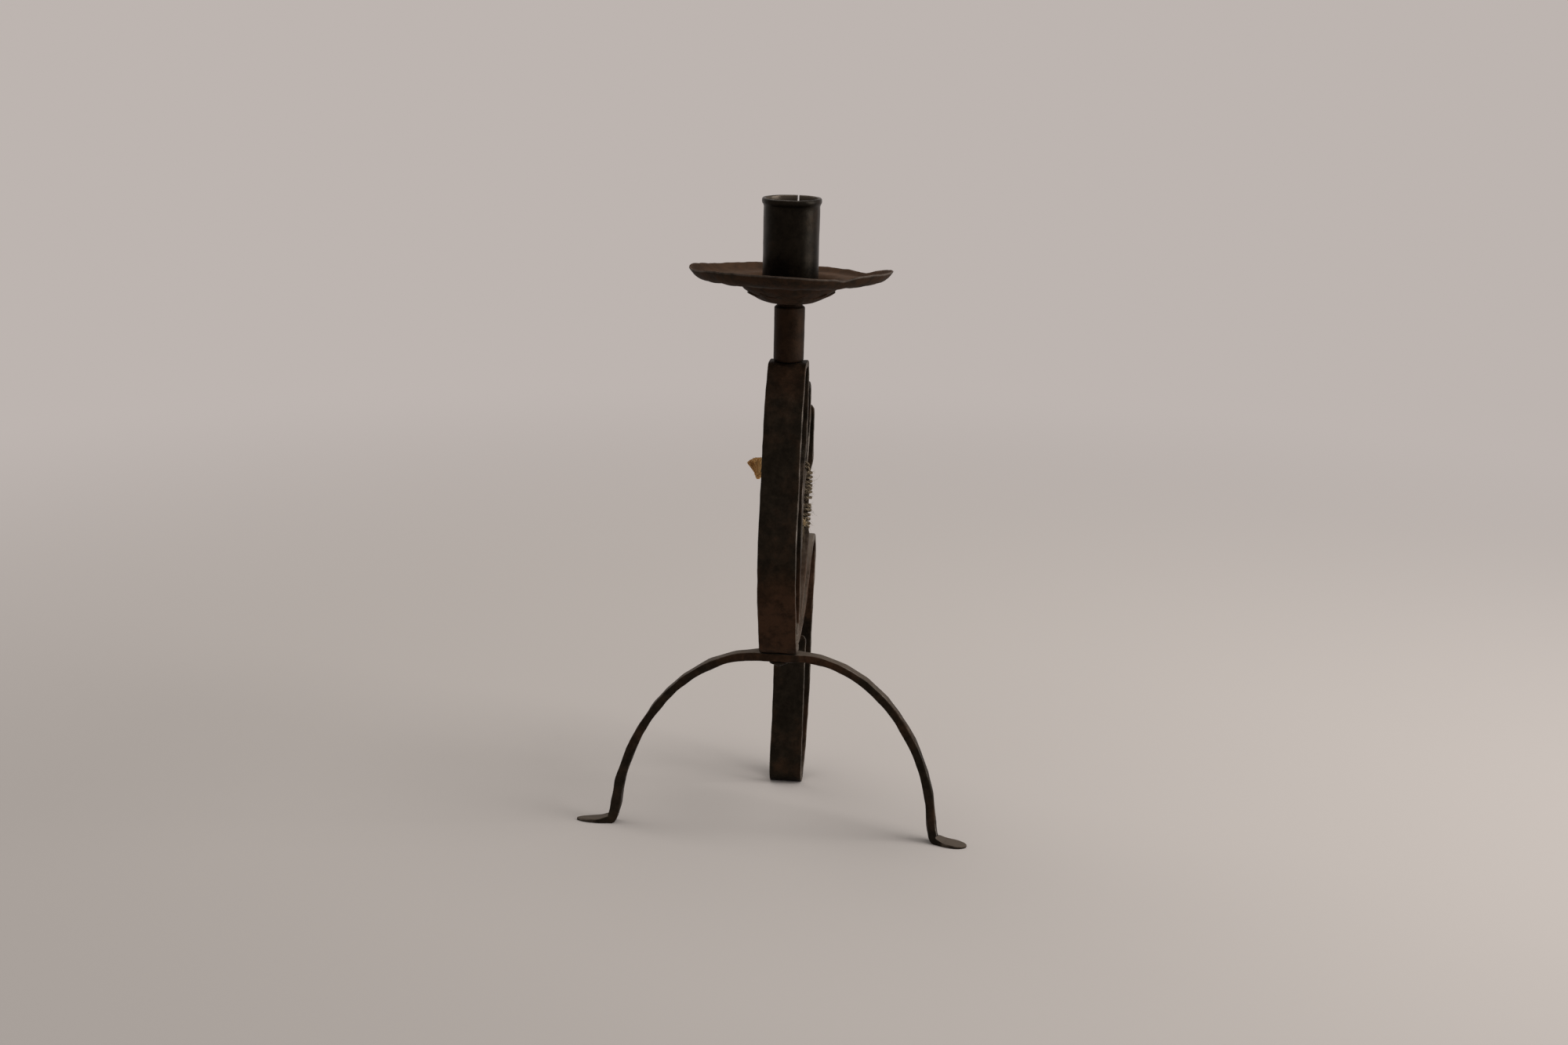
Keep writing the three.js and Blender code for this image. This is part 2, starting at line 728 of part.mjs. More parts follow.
function tube(points, diameter, sides) {
  const outline = [];
  for (let j = 0; j < sides; j++) {
    const angle = (2 * Math.PI * j) / sides;
    outline.push(new THREE.Vector2(Math.cos(angle), Math.sin(angle)).multiplyScalar(diameter / 2));
  }
  let side = Z.clone();
  const rings = points.map((point, i) => {
    const ahead = points[Math.min(i + 1, points.length - 1)];
    const behind = points[Math.max(i - 1, 0)];
    const tangent = ahead.clone().sub(behind).normalize();
    side = side.clone().addScaledVector(tangent, -side.dot(tangent)).normalize();
    const other = tangent.clone().cross(side);
    return outline.map((p) => point.clone().addScaledVector(side, p.x).addScaledVector(other, p.y));
  });
  return skin(rings, outline, outline);
}

// The least distance between two places on the cord that are more than a third of a loop apart
function leastSelfGap(points, diameter) {
  let least = Infinity;
  for (let i = 0; i < points.length; i++) {
    for (let j = i + 8; j < points.length; j++) least = Math.min(least, points[i].distanceTo(points[j]));
  }
  return least - diameter;
}
console.log("twine least gap to itself, mm:", leastSelfGap(cord, twine).toFixed(2));
place("twine_winding", tube(cord, twine, 6), jute);

// The knot and its frayed brush, turned about a line that leans out to the left
const brush = turned(
  () => [
    [0, -knotRadius],
    [0.7 * knotRadius, -0.7 * knotRadius],
    [knotRadius, 0],
    [0.75 * knotRadius, 0.7 * knotRadius],
    [0.5 * knotRadius, 1.2 * knotRadius],
    [0.8 * knotRadius, 3 * knotRadius],
    [1.15 * knotRadius, 4.2 * knotRadius],
    [0, 4.4 * knotRadius],
  ],
  16,
);
brush.rotateY(-0.22);
place("twine_knot", brush.translate(...knotAt.toArray()), jute);

// The origin is on the floor under the middle of the candlestick
const bounds = new THREE.Box3().setFromObject(group);
const middle = bounds.getCenter(new THREE.Vector3());
for (const mesh of group.children) mesh.geometry.translate(-middle.x, -middle.y, -bounds.min.z);

export default group;
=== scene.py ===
"""A wrought iron candlestick: forged leaves on a riveted arch, a hammered drip pan and a twine tie.

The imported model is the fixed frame. Each operator makes one piece, or one group of like pieces, over it.
"""

import bisect
import math
import random
from typing import NamedTuple

import bmesh
import bpy
from bpy.props import FloatProperty, FloatVectorProperty, IntProperty, PointerProperty
from mathutils import Matrix, Vector, noise


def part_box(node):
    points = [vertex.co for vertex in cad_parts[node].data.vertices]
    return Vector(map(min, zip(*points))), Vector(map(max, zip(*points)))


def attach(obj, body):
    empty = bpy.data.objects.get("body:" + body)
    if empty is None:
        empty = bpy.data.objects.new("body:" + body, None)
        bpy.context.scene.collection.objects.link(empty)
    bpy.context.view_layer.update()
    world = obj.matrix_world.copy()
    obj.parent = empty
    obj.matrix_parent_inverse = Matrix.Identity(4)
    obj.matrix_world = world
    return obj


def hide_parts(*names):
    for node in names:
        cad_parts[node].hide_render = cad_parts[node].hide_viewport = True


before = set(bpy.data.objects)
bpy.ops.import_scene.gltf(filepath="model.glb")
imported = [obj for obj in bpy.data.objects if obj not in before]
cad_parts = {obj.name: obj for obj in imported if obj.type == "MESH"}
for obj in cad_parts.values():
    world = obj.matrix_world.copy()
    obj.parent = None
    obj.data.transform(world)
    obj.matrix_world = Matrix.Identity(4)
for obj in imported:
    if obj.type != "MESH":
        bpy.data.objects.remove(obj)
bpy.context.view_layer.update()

bl_info = {
    "name": "Wrought Iron Candlestick",
    "version": (1, 0, 0),
    "blender": (4, 5, 0),
    "location": "View3D > Sidebar > Candlestick",
    "description": "Builds the looks of a forged candlestick over its CAD frame",
    "category": "Add Mesh",
}

MM = 0.001
BODY = "root"

# Places read from the frame
POST_LOW, POST_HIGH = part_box("candle_post")
CANDLE = Vector((POST_LOW.x + POST_HIGH.x, POST_LOW.y + POST_HIGH.y, 0)) / 2  # foot of the candle's axis
ARCH_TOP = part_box("front_arch")[1].z
LOOP_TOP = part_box("stem_loop")[1].z
PAN_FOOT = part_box("drip_pan")[0].z
CUP_FOOT, CUP_TOP = (corner.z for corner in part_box("candle_cup"))
PLATE_FOOT, PLATE_TOP = (corner.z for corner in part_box("cup_plate"))
SCREW_FOOT, SCREW_TOP = (corner.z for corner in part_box("cup_screw"))
JOINT_LOW, JOINT_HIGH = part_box("joint_rivet")
LEAF_RIVET_LOW, LEAF_RIVET_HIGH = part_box("short_leaf_rivet")
JOINT_WASHER_LOW, JOINT_WASHER_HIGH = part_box("joint_washer")

# Forms of the bars, close to the frame's. Depths are behind the candle's axis.
BAR_WIDTH = 18 * MM
BAR_THICKNESS = 3 * MM
SEAT_GAP = 0.3 * MM
BAR_LAYER = BAR_THICKNESS + SEAT_GAP
LEG_TIP_WIDTH = 15.5 * MM
ARCH_BAR = 3.8 * MM
ARCH_LEFT_BAR = 4.6 * MM
ARCH_RIGHT_BAR = 4 * MM
ARCH_BAR_WIDTH = 5.6 * MM
ARCH_BOSS_WIDTH = 8.6 * MM
ARCH_LEFT_SHARE = 0.979  # the left half is a little narrower than the right
ARCH_RISE = ARCH_TOP - ARCH_BAR / 2
ARCH_HALF_SPAN = 78 * MM
ARCH_POWER = 1.95
ARCH_DEPTH = -14.4 * MM
FOOT_DEPTH = -37.5 * MM
TOE_LENGTH = 17 * MM
TOE_WIDTH = 8.4 * MM
LEFT_TOE_WIDTH = 6.6 * MM
LEFT_TOE_SHARE = 1.1  # the left toe is a little longer than the right
TOE_THICKNESS = 1.7 * MM
RIGHT_TOE_TURN = 0.24
LOOP_RISE = LOOP_TOP - BAR_THICKNESS / 2 - ARCH_TOP
LOOP_BULGE = 32.3 * MM
LOOP_CROWN = 8.7 * MM
LOOP_BACK_DEPTH = -9 * MM
SEAT_BEND = 5 * MM
SHORT_LEAF_REACH = 36 * MM
LONG_LEAF_RISE = 111 * MM
LONG_LEAF_REACH = 55.4 * MM
TAIL_RISE = 38.6 * MM
TAIL_REACH = 80.6 * MM
REAR_FOOT_REACH = 46 * MM
RIVET_SHANK = 1.5 * MM  # radius
RIVET_RISE = 1.65 * MM  # of each domed head

# Forms of the sheet pieces
BORE_RADIUS = 2.3 * MM
SHEET = 0.9 * MM
WASHER_RADIUS = 21.3 * MM
WASHER_TIPS = 11
PAN_RADIUS = 47.3 * MM
WELL_RADIUS = 23 * MM
WELL_FLAT = 7 * MM
WELL_BOWL = 6.7 * MM
WELL_DEPTH = 9 * MM
RIM_RISE = 4.5 * MM
PAN_SLANT = 3.4 * MM
PAN_WAVE = 0.9 * MM
CUP_RADIUS = 13.1 * MM
CUP_BEAD = 0.85 * MM
CUP_SLIT = 1 * MM
CUP_SLIT_TURN = 0.13
CUP_FLANGE = 3.4 * MM

# The twine's winding along the long leaf, and its knot
WINDING = 29 * MM
WAIST = 3 * MM  # the long leaf is this much narrower under the winding
KNOT_RADIUS = 2.1 * MM

# The photograph's camera
CAMERA_AZIMUTH = math.radians(6.38)
CAMERA_REACH = 956.7 * MM
CAMERA_AIM_DEPTH = -30 * MM
CAMERA_HEIGHT = 401.4 * MM
CAMERA_PITCH = math.radians(14.61)
CAMERA_ROLL = math.radians(1.23)
CAMERA_YAW = math.radians(0.164)
CAMERA_LENS = 48.6


class CandlestickSizes(bpy.types.PropertyGroup):
    """Sizes of the forged and wound detail."""

    hammer_size: FloatProperty(
        name="Hammer mark",
        description="Distance between hammer marks on the bars",
        default=6.5 * MM,
        min=1 * MM,
        unit="LENGTH",
    )
    hammer_depth: FloatProperty(
        name="Hammer depth",
        description="Depth of a hammer mark on the bars",
        default=0.16 * MM,
        min=0,
        unit="LENGTH",
    )
    edge_rounding: FloatProperty(
        name="Edge rounding",
        description="Radius of the bars' worn edges",
        default=0.36 * MM,
        min=0.1 * MM,
        unit="LENGTH",
    )
    pan_dents: FloatProperty(
        name="Pan dents",
        description="Depth of the dents in the drip pan",
        default=0.32 * MM,
        min=0,
        unit="LENGTH",
    )
    rim_nicks: FloatProperty(
        name="Rim nicks",
        description="Unevenness of the pan's cut rim",
        default=0.45 * MM,
        min=0,
        unit="LENGTH",
    )
    twine: FloatProperty(
        name="Twine",
        description="Diameter of the twine",
        default=1.5 * MM,
        min=1 * MM,
        unit="LENGTH",
    )
    twine_lay: FloatProperty(
        name="Twine lay",
        description="Length of one twist of the twine's plies",
        default=4 * MM,
        min=2 * MM,
        unit="LENGTH",
    )
    long_leaf_turns: IntProperty(
        name="Long leaf turns",
        description="Turns of twine round the long leaf",
        default=14,
        min=1,
    )
    short_leaf_turns: IntProperty(
        name="Short leaf turns",
        description="Turns of twine round the short leaf",
        default=2,
        min=1,
    )
    fuzz: IntProperty(
        name="Fuzz",
        description="Number of loose fibres on the twine",
        default=2400,
        min=0,
    )
    brush: IntProperty(
        name="Brush",
        description="Number of strands in the knot's frayed end",
        default=1000,
        min=3,
    )


class CandlestickColours(bpy.types.PropertyGroup):
    """Colours of the iron and the twine."""

    iron_black: FloatVectorProperty(
        name="Black iron",
        description="Scale left by the forge",
        subtype="COLOR",
        default=(0.0165, 0.0126, 0.0085),
    )
    iron_brown: FloatVectorProperty(
        name="Brown iron",
        description="Handled and waxed iron",
        subtype="COLOR",
        default=(0.034, 0.0185, 0.0105),
    )
    rust: FloatVectorProperty(
        name="Rust",
        description="Old rust in the low places",
        subtype="COLOR",
        default=(0.062, 0.029, 0.015),
    )
    # Worn iron and painted light: bare iron on rubbed edges. It is also laid a little on the bars' narrow
    # sides, so that they look lit.
    worn_iron_and_painted_light: FloatVectorProperty(
        name="Worn iron",
        description="Bare iron on rubbed edges",
        subtype="COLOR",
        default=(0.18, 0.16, 0.14),
    )
    # Dust and painted light: the paler colour of what faces up and of the bars' narrow sides, standing in
    # for light from above and from the side as well as for dust.
    dust_and_painted_light: FloatVectorProperty(
        name="Dust",
        description="Dry skin on what faces up and on the bars' narrow sides",
        subtype="COLOR",
        default=(0.1, 0.078, 0.059),
    )
    pan_brown: FloatVectorProperty(
        name="Pan brown",
        description="Dry brown skin of the drip pan",
        subtype="COLOR",
        default=(0.064, 0.0345, 0.0185),
    )
    # The twine's colours are soil and painted shade together: they are darkened for the shade between the
    # leaves as well as for dirt.
    twine_dark: FloatVectorProperty(
        name="Twine dark",
        description="Soiled fibres of the wound twine",
        subtype="COLOR",
        default=(0.06, 0.042, 0.025),
    )
    twine_pale: FloatVectorProperty(
        name="Twine pale",
        description="Cleaner fibres of the wound twine",
        subtype="COLOR",
        default=(0.31, 0.245, 0.165),
    )
    # Partly painted light: the brush's colours are set very pale, to make up for the shade that the stem
    # and the strands cast on it.
    brush_tan: FloatVectorProperty(
        name="Brush tan",
        description="Darker strands of the knot's brush",
        subtype="COLOR",
        default=(0.62, 0.35, 0.135),
    )
    brush_pale: FloatVectorProperty(
        name="Brush pale",
        description="Paler strands of the knot's brush",
        subtype="COLOR",
        default=(0.86, 0.58, 0.265),
    )
    fresh_jute: FloatVectorProperty(
        name="Fresh jute",
        description="Clean fibres of the frayed end",
        subtype="COLOR",
        default=(0.62, 0.5, 0.33),
    )


class CandlestickStage(bpy.types.PropertyGroup):
    """Floor and light."""

    floor_colour: FloatVectorProperty(
        name="Floor",
        description="Colour of the floor",
        subtype="COLOR",
        default=(0.46, 0.415, 0.385),
    )
    backdrop_colour: FloatVectorProperty(
        name="Backdrop",
        description="Colour of what lies far behind the object",
        subtype="COLOR",
        default=(0.51, 0.46, 0.435),
    )
    window_power: FloatProperty(
        name="Window",
        description="Power of the soft light from the right",
        default=13,
        min=0,
        unit="POWER",
    )
    top_power: FloatProperty(
        name="Top light",
        description="Power of the wide lamp overhead",
        default=10,
        min=0,
        unit="POWER",
    )
    sky_strength: FloatProperty(
        name="Sky",
        description="Strength of the even light from all round",
        default=0.38,
        min=0,
    )


# Shading


class Field:
    """A value that varies over a surface: a shader socket that takes part in arithmetic."""

    def __init__(self, finish, socket):
        self.finish = finish
        self.socket = socket

    def sum_of(self, operation, one, two):
        """The Math node that works out one operation."""
        return self.finish.add("ShaderNodeMath", {"operation": operation}, {0: one, 1: two})

    def __add__(self, other):
        return self.sum_of("ADD", self, other)

    def __radd__(self, other):
        return self.sum_of("ADD", other, self)

    def __sub__(self, other):
        return self.sum_of("SUBTRACT", self, other)

    def __rsub__(self, other):
        return self.sum_of("SUBTRACT", other, self)

    def __mul__(self, other):
        return self.sum_of("MULTIPLY", self, other)

    def __rmul__(self, other):
        return self.sum_of("MULTIPLY", other, self)


class Finish:
    """A material or the sky while its nodes are being added."""

    def __init__(self, owner, shader):
        owner.use_nodes = True
        self.owner = owner
        self.nodes = owner.node_tree.nodes
        self.links = owner.node_tree.links
        self.shader = self.nodes[shader]

    def add(self, kind, settings=None, sockets=None, output=0):
        """A node of a type, with its settings first, then the values or links of its sockets."""
        node = self.nodes.new(kind)
        for name, value in (settings or {}).items():
            setattr(node, name, value)
        for name, value in (sockets or {}).items():
            self.feed(node.inputs[name], value)
        return Field(self, node.outputs[output])

    def feed(self, socket, value):
        """Links a field to a socket, or sets the socket's own value."""
        if isinstance(value, Field):
            self.links.new(value.socket, socket)
        else:
            socket.default_value = value

    def place(self):
        """Position on the object, in metres."""
        return self.add("ShaderNodeTexCoord", output="Object")

    def seen(self):
        """1 for what the camera sees, straight or in a gloss, and 0 for what only gives light."""
        kinds = ("Is Camera Ray", "Is Glossy Ray", "Is Transmission Ray")
        straight, gloss, glass = (self.add("ShaderNodeLightPath", output=kind) for kind in kinds)
        return self.rise(straight + gloss + glass, 0, 1)

    def mark(self, name):
        """A number stored on the mesh."""
        return self.add("ShaderNodeAttribute", {"attribute_name": name}, output="Fac")

    def cloud(self, place, size, detail=4.0, roughness=0.6):
        """Soft noise whose features are about the given size."""
        sockets = {"Vector": place, "Scale": 1 / size, "Detail": detail, "Roughness": roughness}
        return self.add("ShaderNodeTexNoise", None, sockets, "Fac")

    def pits(self, place, size):
        """Distance to the nearest of many scattered pits."""
        sockets = {"Vector": place, "Scale": 1 / size, "Randomness": 1.0}
        return self.add("ShaderNodeTexVoronoi", {"feature": "F1"}, sockets, "Distance")

    def rise(self, value, low, high):
        """0 below low, 1 above high and smooth between."""
        sockets = {"Value": value, "From Min": low, "From Max": high}
        return self.add("ShaderNodeMapRange", {"interpolation_type": "SMOOTHSTEP"}, sockets)

    def blend(self, share, one, two):
        """Mix of two colours."""
        colours = {0: share, 6: opaque(one), 7: opaque(two)}
        return self.add("ShaderNodeMix", {"data_type": "RGBA"}, colours, 2)

    def bump(self, height, distance, strength):
        """Normal raised by a height field."""
        sockets = {"Height": height, "Distance": distance, "Strength": strength}
        return self.add("ShaderNodeBump", None, sockets, "Normal")

    def set(self, **sockets):
        """Feeds the shader's own sockets, whose spaces are written as underscores."""
        for name, value in sockets.items():
            self.feed(self.shader.inputs[name.replace("_", " ")], value)


def new_finish(name):
    """A new material with its shader."""
    return Finish(bpy.data.materials.new(name), "Principled BSDF")


def opaque(colour):
    """A colour with its alpha, or a field as it is."""
    return colour if isinstance(colour, Field) else (*colour, 1.0)


def shade(colour, share):
    """A colour made darker or lighter by a share."""
    return tuple(share * part for part in colour)


class IronLook(NamedTuple):
    """What sets one kind of iron piece apart from the others."""

    brown: float  # share of brown patches
    rust: float  # share of rust
    roughness: float  # where it is smoothest
    clean: float  # lower where the candle has sooted it
    relief: float  # strength of the surface's small bumps


FORGED = IronLook(brown=0.55, rust=0.35, roughness=0.42, clean=1.05, relief=0.65)
TURNED = IronLook(brown=1.1, rust=0.5, roughness=0.42, clean=0.68, relief=0.55)
ROLLED = IronLook(brown=0.5, rust=0.2, roughness=0.2, clean=0.62, relief=0.25)


def iron_finish(name, colours, look):
    """Iron with mottled black scale, brown handling, rust in low places and bare worn edges, with dust and
    painted light making upward faces and the bars' narrow sides paler.
    """
    finish = new_finish(name)
    place = finish.place()
    broad = finish.cloud(place, 34 * MM, 3.0)
    patch = finish.cloud(place, 9 * MM, 6.0, 0.68)
    fleck = finish.cloud(place, 2.8 * MM, 4.0, 0.7)
    speck = finish.cloud(place, 0.8 * MM, 3.0)
    pit = finish.pits(place, 1.6 * MM)
    wear_and_painted_light = finish.mark("wear_and_painted_light")
    hollow = finish.mark("hollow")
    warm = finish.mark("warm")
    dry = finish.mark("dry")

    scale = finish.rise(0.55 * patch + 0.45 * fleck, 0.36, 0.64)
    soot_black = shade(colours.iron_black, look.clean)
    soot_brown = shade(colours.iron_brown, look.clean)
    black = finish.blend(scale, shade(soot_black, 0.62), shade(soot_black, 1.4))
    handled = finish.blend(scale, shade(soot_brown, 0.7), shade(soot_brown, 1.3))
    brownness = broad * 0.6 + patch * 0.4 + 0.24 * warm
    low = 0.62 - 0.3 * look.brown
    colour = finish.blend(finish.rise(brownness, low, low + 0.24), black, handled)
    rustiness = 0.6 * patch + 0.4 * fleck + 0.14 * hollow + 0.22 * broad + 0.2 * warm
    low = 0.84 - 0.3 * look.rust
    rusted = finish.rise(rustiness, low, low + 0.16)
    colour = finish.blend(rusted * (0.25 + 0.6 * speck), colour, colours.rust)
    # Dust and painted light: upward faces and the bars' narrow sides turn paler, painted as if lit.
    dust_and_painted_light_share = finish.rise(dry + 0.4 * patch + 0.6 * fleck, 0.9, 1.5)
    colour = finish.blend(dust_and_painted_light_share * 0.85, colour, colours.dust_and_painted_light)
    # Rubbed edges, and painted light where the bars' narrow sides reach it.
    rubbed_and_painted_light = finish.rise(wear_and_painted_light + 0.4 * patch + 0.3 * fleck, 1.1, 1.5)
    colour = finish.blend(rubbed_and_painted_light * 0.8, colour, colours.worn_iron_and_painted_light)

    height = 0.45 * patch + 0.25 * fleck + 0.15 * speck + 0.15 * finish.rise(pit, 0.1, 0.42)
    finish.set(
        Base_Color=colour,
        Metallic=0.75 - 0.35 * rusted - 0.3 * dust_and_painted_light_share + 0.15 * rubbed_and_painted_light,
        Roughness=look.roughness + 0.16 * patch + 0.16 * fleck + 0.14 * rusted - 0.1 * rubbed_and_painted_light,
        Specular_IOR_Level=0.1,
        Normal=finish.bump(height, 0.26 * MM, look.relief),
    )
    return finish.owner


def pan_finish(name, colours):
    """Dry brown sheet iron, mottled with rust and dark spots, with painted shade that makes it darker
    underneath.
    """
    finish = new_finish(name)
    place = finish.place()
    broad = finish.cloud(place, 20 * MM, 4.0)
    patch = finish.cloud(place, 6 * MM, 6.0, 0.7)
    fleck = finish.cloud(place, 2 * MM, 4.0, 0.7)
    speck = finish.cloud(place, 0.8 * MM, 3.0)
    pit = finish.pits(place, 1.3 * MM)
    wear_and_painted_light = finish.mark("wear_and_painted_light")
    hollow = finish.mark("hollow")
    under = finish.mark("under")

    dry = finish.rise(broad * 0.5 + patch * 0.5, 0.34, 0.64)
    colour = finish.blend(dry, colours.iron_brown, colours.pan_brown)
    rusted = finish.rise(0.6 * patch + 0.4 * fleck + 0.2 * hollow, 0.48, 0.74)
    colour = finish.blend(rusted * (0.25 + 0.6 * speck), colour, colours.rust)
    dark = finish.rise(0.7 * fleck + 0.3 * broad, 0.54, 0.7)
    colour = finish.blend(dark * 0.75, colour, colours.iron_black)
    # Painted shade: the underside of the pan, and all of the washer beneath it, are made darker.
    painted_underside_shade = finish.blend(finish.rise(patch, 0.35, 0.6), shade(colours.iron_black, 0.8), colours.iron_brown)
    colour = finish.blend(under * 0.8, colour, painted_underside_shade)
    rubbed_and_painted_light = finish.rise(wear_and_painted_light + 0.5 * patch, 1.0, 1.4)
    colour = finish.blend(rubbed_and_painted_light * 0.45, colour, colours.worn_iron_and_painted_light)

    height = 0.4 * patch + 0.3 * fleck + 0.15 * speck + 0.15 * finish.rise(pit, 0.08, 0.4)
    finish.set(
        Base_Color=colour,
        Metallic=0.3 + 0.3 * rubbed_and_painted_light,
        Roughness=0.6 + 0.15 * patch + 0.15 * fleck - 0.15 * rubbed_and_painted_light,
        Specular_IOR_Level=0.06,
        Normal=finish.bump(height, 0.3 * MM, 0.75),
    )
    return finish.owner


def jute_finish(name, dark, pale, fresh):
    """Twine fibres that run along each ply. Each strand has its own tone, and frayed ones are fresh."""
    finish = new_finish(name)
    around = finish.mark("around")
    along = finish.mark("along")
    tone = finish.mark("tone")
    lengths = {"X": 9.0 * around, "Y": along * 0.35 + around * 1.5, "Z": tone * 40.0}
    grain = finish.add("ShaderNodeCombineXYZ", None, lengths)
    fibre_tone = finish.cloud(grain, 1.0, 3.0, 0.7)
    blotch = finish.cloud(finish.place(), 3 * MM, 3.0)
    lightness = 0.5 * fibre_tone + 0.4 * blotch + 0.35 * tone
    colour = finish.blend(finish.rise(lightness, 0.42, 0.86), dark, pale)
    colour = finish.blend(finish.rise(tone, 1.0, 1.5), colour, fresh)
    lit = finish.rise(fibre_tone, 0.22, 0.42)
    colour = finish.blend(0.3 + 0.7 * lit, shade(dark, 0.3), colour)
    finish.set(
        Base_Color=colour,
        Roughness=0.86,
        Specular_IOR_Level=0.15,
        Normal=finish.bump(fibre_tone, 0.18 * MM, 0.8),
    )
    return finish.owner


def floor_finish(name, stage):
    """A plain matt floor with the faintest unevenness. Far from the object it fades into the backdrop."""
    finish = new_finish(name)
    place = finish.place()
    mottle = finish.cloud(place, 0.5, 2.0)
    floor = finish.blend(mottle, shade(stage.floor_colour, 0.97), stage.floor_colour)
    reach = finish.add("ShaderNodeVectorMath", {"operation": "LENGTH"}, {0: place}, "Value")
    near = 0.25
    far = 1.1
    faded = finish.rise(reach, near, far) * finish.seen()
    finish.set(
        Base_Color=finish.blend(faded, floor, (0, 0, 0)),
        Roughness=1.0,
        Specular_IOR_Level=0.0,
        Emission_Color=finish.blend(faded, (0, 0, 0), stage.backdrop_colour),
        Emission_Strength=1.0,
    )
    return finish.owner


def finish_named(name, maker, *details):
    """The material of that name, made the first time it is asked for."""
    return bpy.data.materials.get(name) or maker(name, *details)


# Lines and skins


class BentLine:
    """A smooth line through the bends of a bar, measured along its length."""

    def __init__(self, knots, steps=14):
        ends = [2 * knots[0] - knots[1], *knots, 2 * knots[-1] - knots[-2]]
        self.points = []
        for before, start, stop, after in zip(ends, ends[1:], ends[2:], ends[3:]):
            self.points.extend(self.span(before, start, stop, after, steps))
        self.points.append(knots[-1])
        self.marks = [0.0]
        for one, two in zip(self.points, self.points[1:]):
            self.marks.append(self.marks[-1] + (two - one).length)
        self.length = self.marks[-1]

    @staticmethod
    def span(before, start, stop, after, steps):
        """Points of one span, without its last. Bends stay tight because spans are timed by their roots."""
        t0 = (start - before).length ** 0.5
        t1 = (stop - start).length ** 0.5
        t2 = (after - stop).length ** 0.5
        leave = ((start - before) / t0 - (stop - before) / (t0 + t1) + (stop - start) / t1) * t1
        arrive = ((stop - start) / t1 - (after - start) / (t1 + t2) + (after - stop) / t2) * t1
        for i in range(steps):
            u = i / steps
            rest = 1 - u
            hold = start * (1 + 2 * u) * rest**2 + stop * u**2 * (3 - 2 * u)
            yield hold + leave * u * rest**2 - arrive * u**2 * rest

    def point(self, distance):
        """The point at a distance along the line."""
        i = min(max(bisect.bisect_right(self.marks, distance), 1), len(self.marks) - 1)
        share = (distance - self.marks[i - 1]) / (self.marks[i] - self.marks[i - 1])
        return self.points[i - 1].lerp(self.points[i], share)

    def tangent(self, distance):
        """The direction of the line at a distance along it."""
        reach = 0.6 * MM
        low = max(distance - reach, 0)
        high = min(distance + reach, self.length)
        return (self.point(high) - self.point(low)).normalized()

    def at_height(self, height):
        """The first distance at which the line passes a height."""
        for mark, point in zip(self.marks, self.points):
            if point.z >= height:
                return mark
        raise ValueError("the line does not reach that height")


class Skin:
    """Points, faces and numbers per point of a piece while it is being made."""

    def __init__(self, *marks):
        self.points = []
        self.faces = []
        self.marks = {mark: [] for mark in marks}

    def ring(self, points, *values):
        """Adds points with their numbers and gives their places in the list."""
        first = len(self.points)
        self.points.extend(points)
        for mark, numbers in zip(self.marks.values(), values):
            mark.extend(numbers)
        return range(first, len(self.points))

    def bridge(self, one, two, closed=True):
        """Faces between two rings of equal length."""
        count = len(one)
        for i in range(count if closed else count - 1):
            j = (i + 1) % count
            self.faces.append((one[i], one[j], two[j], two[i]))

    def cap(self, ring):
        """One face over a ring."""
        self.faces.append(tuple(ring))

    def move(self, matrix):
        """Carries all points by a matrix."""
        self.points = [matrix @ point for point in self.points]


def make_piece(name, skin, finish, node, sharp=38):
    """The mesh object of a skin, which rides on the frame and stands for a CAD node."""
    shape = bmesh.new()
    layers = [shape.verts.layers.float.new(mark) for mark in skin.marks]
    corners = [shape.verts.new(point) for point in skin.points]
    for layer, numbers in zip(layers, skin.marks.values()):
        for corner, number in zip(corners, numbers):
            corner[layer] = number
    for face in skin.faces:
        shape.faces.new([corners[i] for i in face]).smooth = True
    bmesh.ops.remove_doubles(shape, verts=shape.verts, dist=1e-7)
    bmesh.ops.recalc_face_normals(shape, faces=shape.faces)
    mesh = bpy.data.meshes.new(name)
    shape.to_mesh(mesh)
    shape.free()
    mesh.set_sharp_from_angle(angle=math.radians(sharp))
    mesh.materials.append(finish)
    piece = bpy.data.objects.new(name, mesh)
    bpy.context.scene.collection.objects.link(piece)
    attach(piece, BODY)
    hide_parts(node)
    return piece


def hammered(point, size, seed):
    """Height of a hammered surface: about -1 in the middle of a mark and 1 on the ridge between marks."""
    nearest = noise.voronoi(point / size + Vector((seed, 2.3 * seed, 3.7 * seed)))[0][0]
    return 2.4 * nearest - 1


def mix(one, two, share):
    """A number between two others."""
    return one + (two - one) * share


def ease(low, high, value):
    """0 below low, 1 above high and smooth between."""
    share = min(max((value - low) / (high - low), 0), 1)
    return share * share * (3 - 2 * share)


# Forged bars


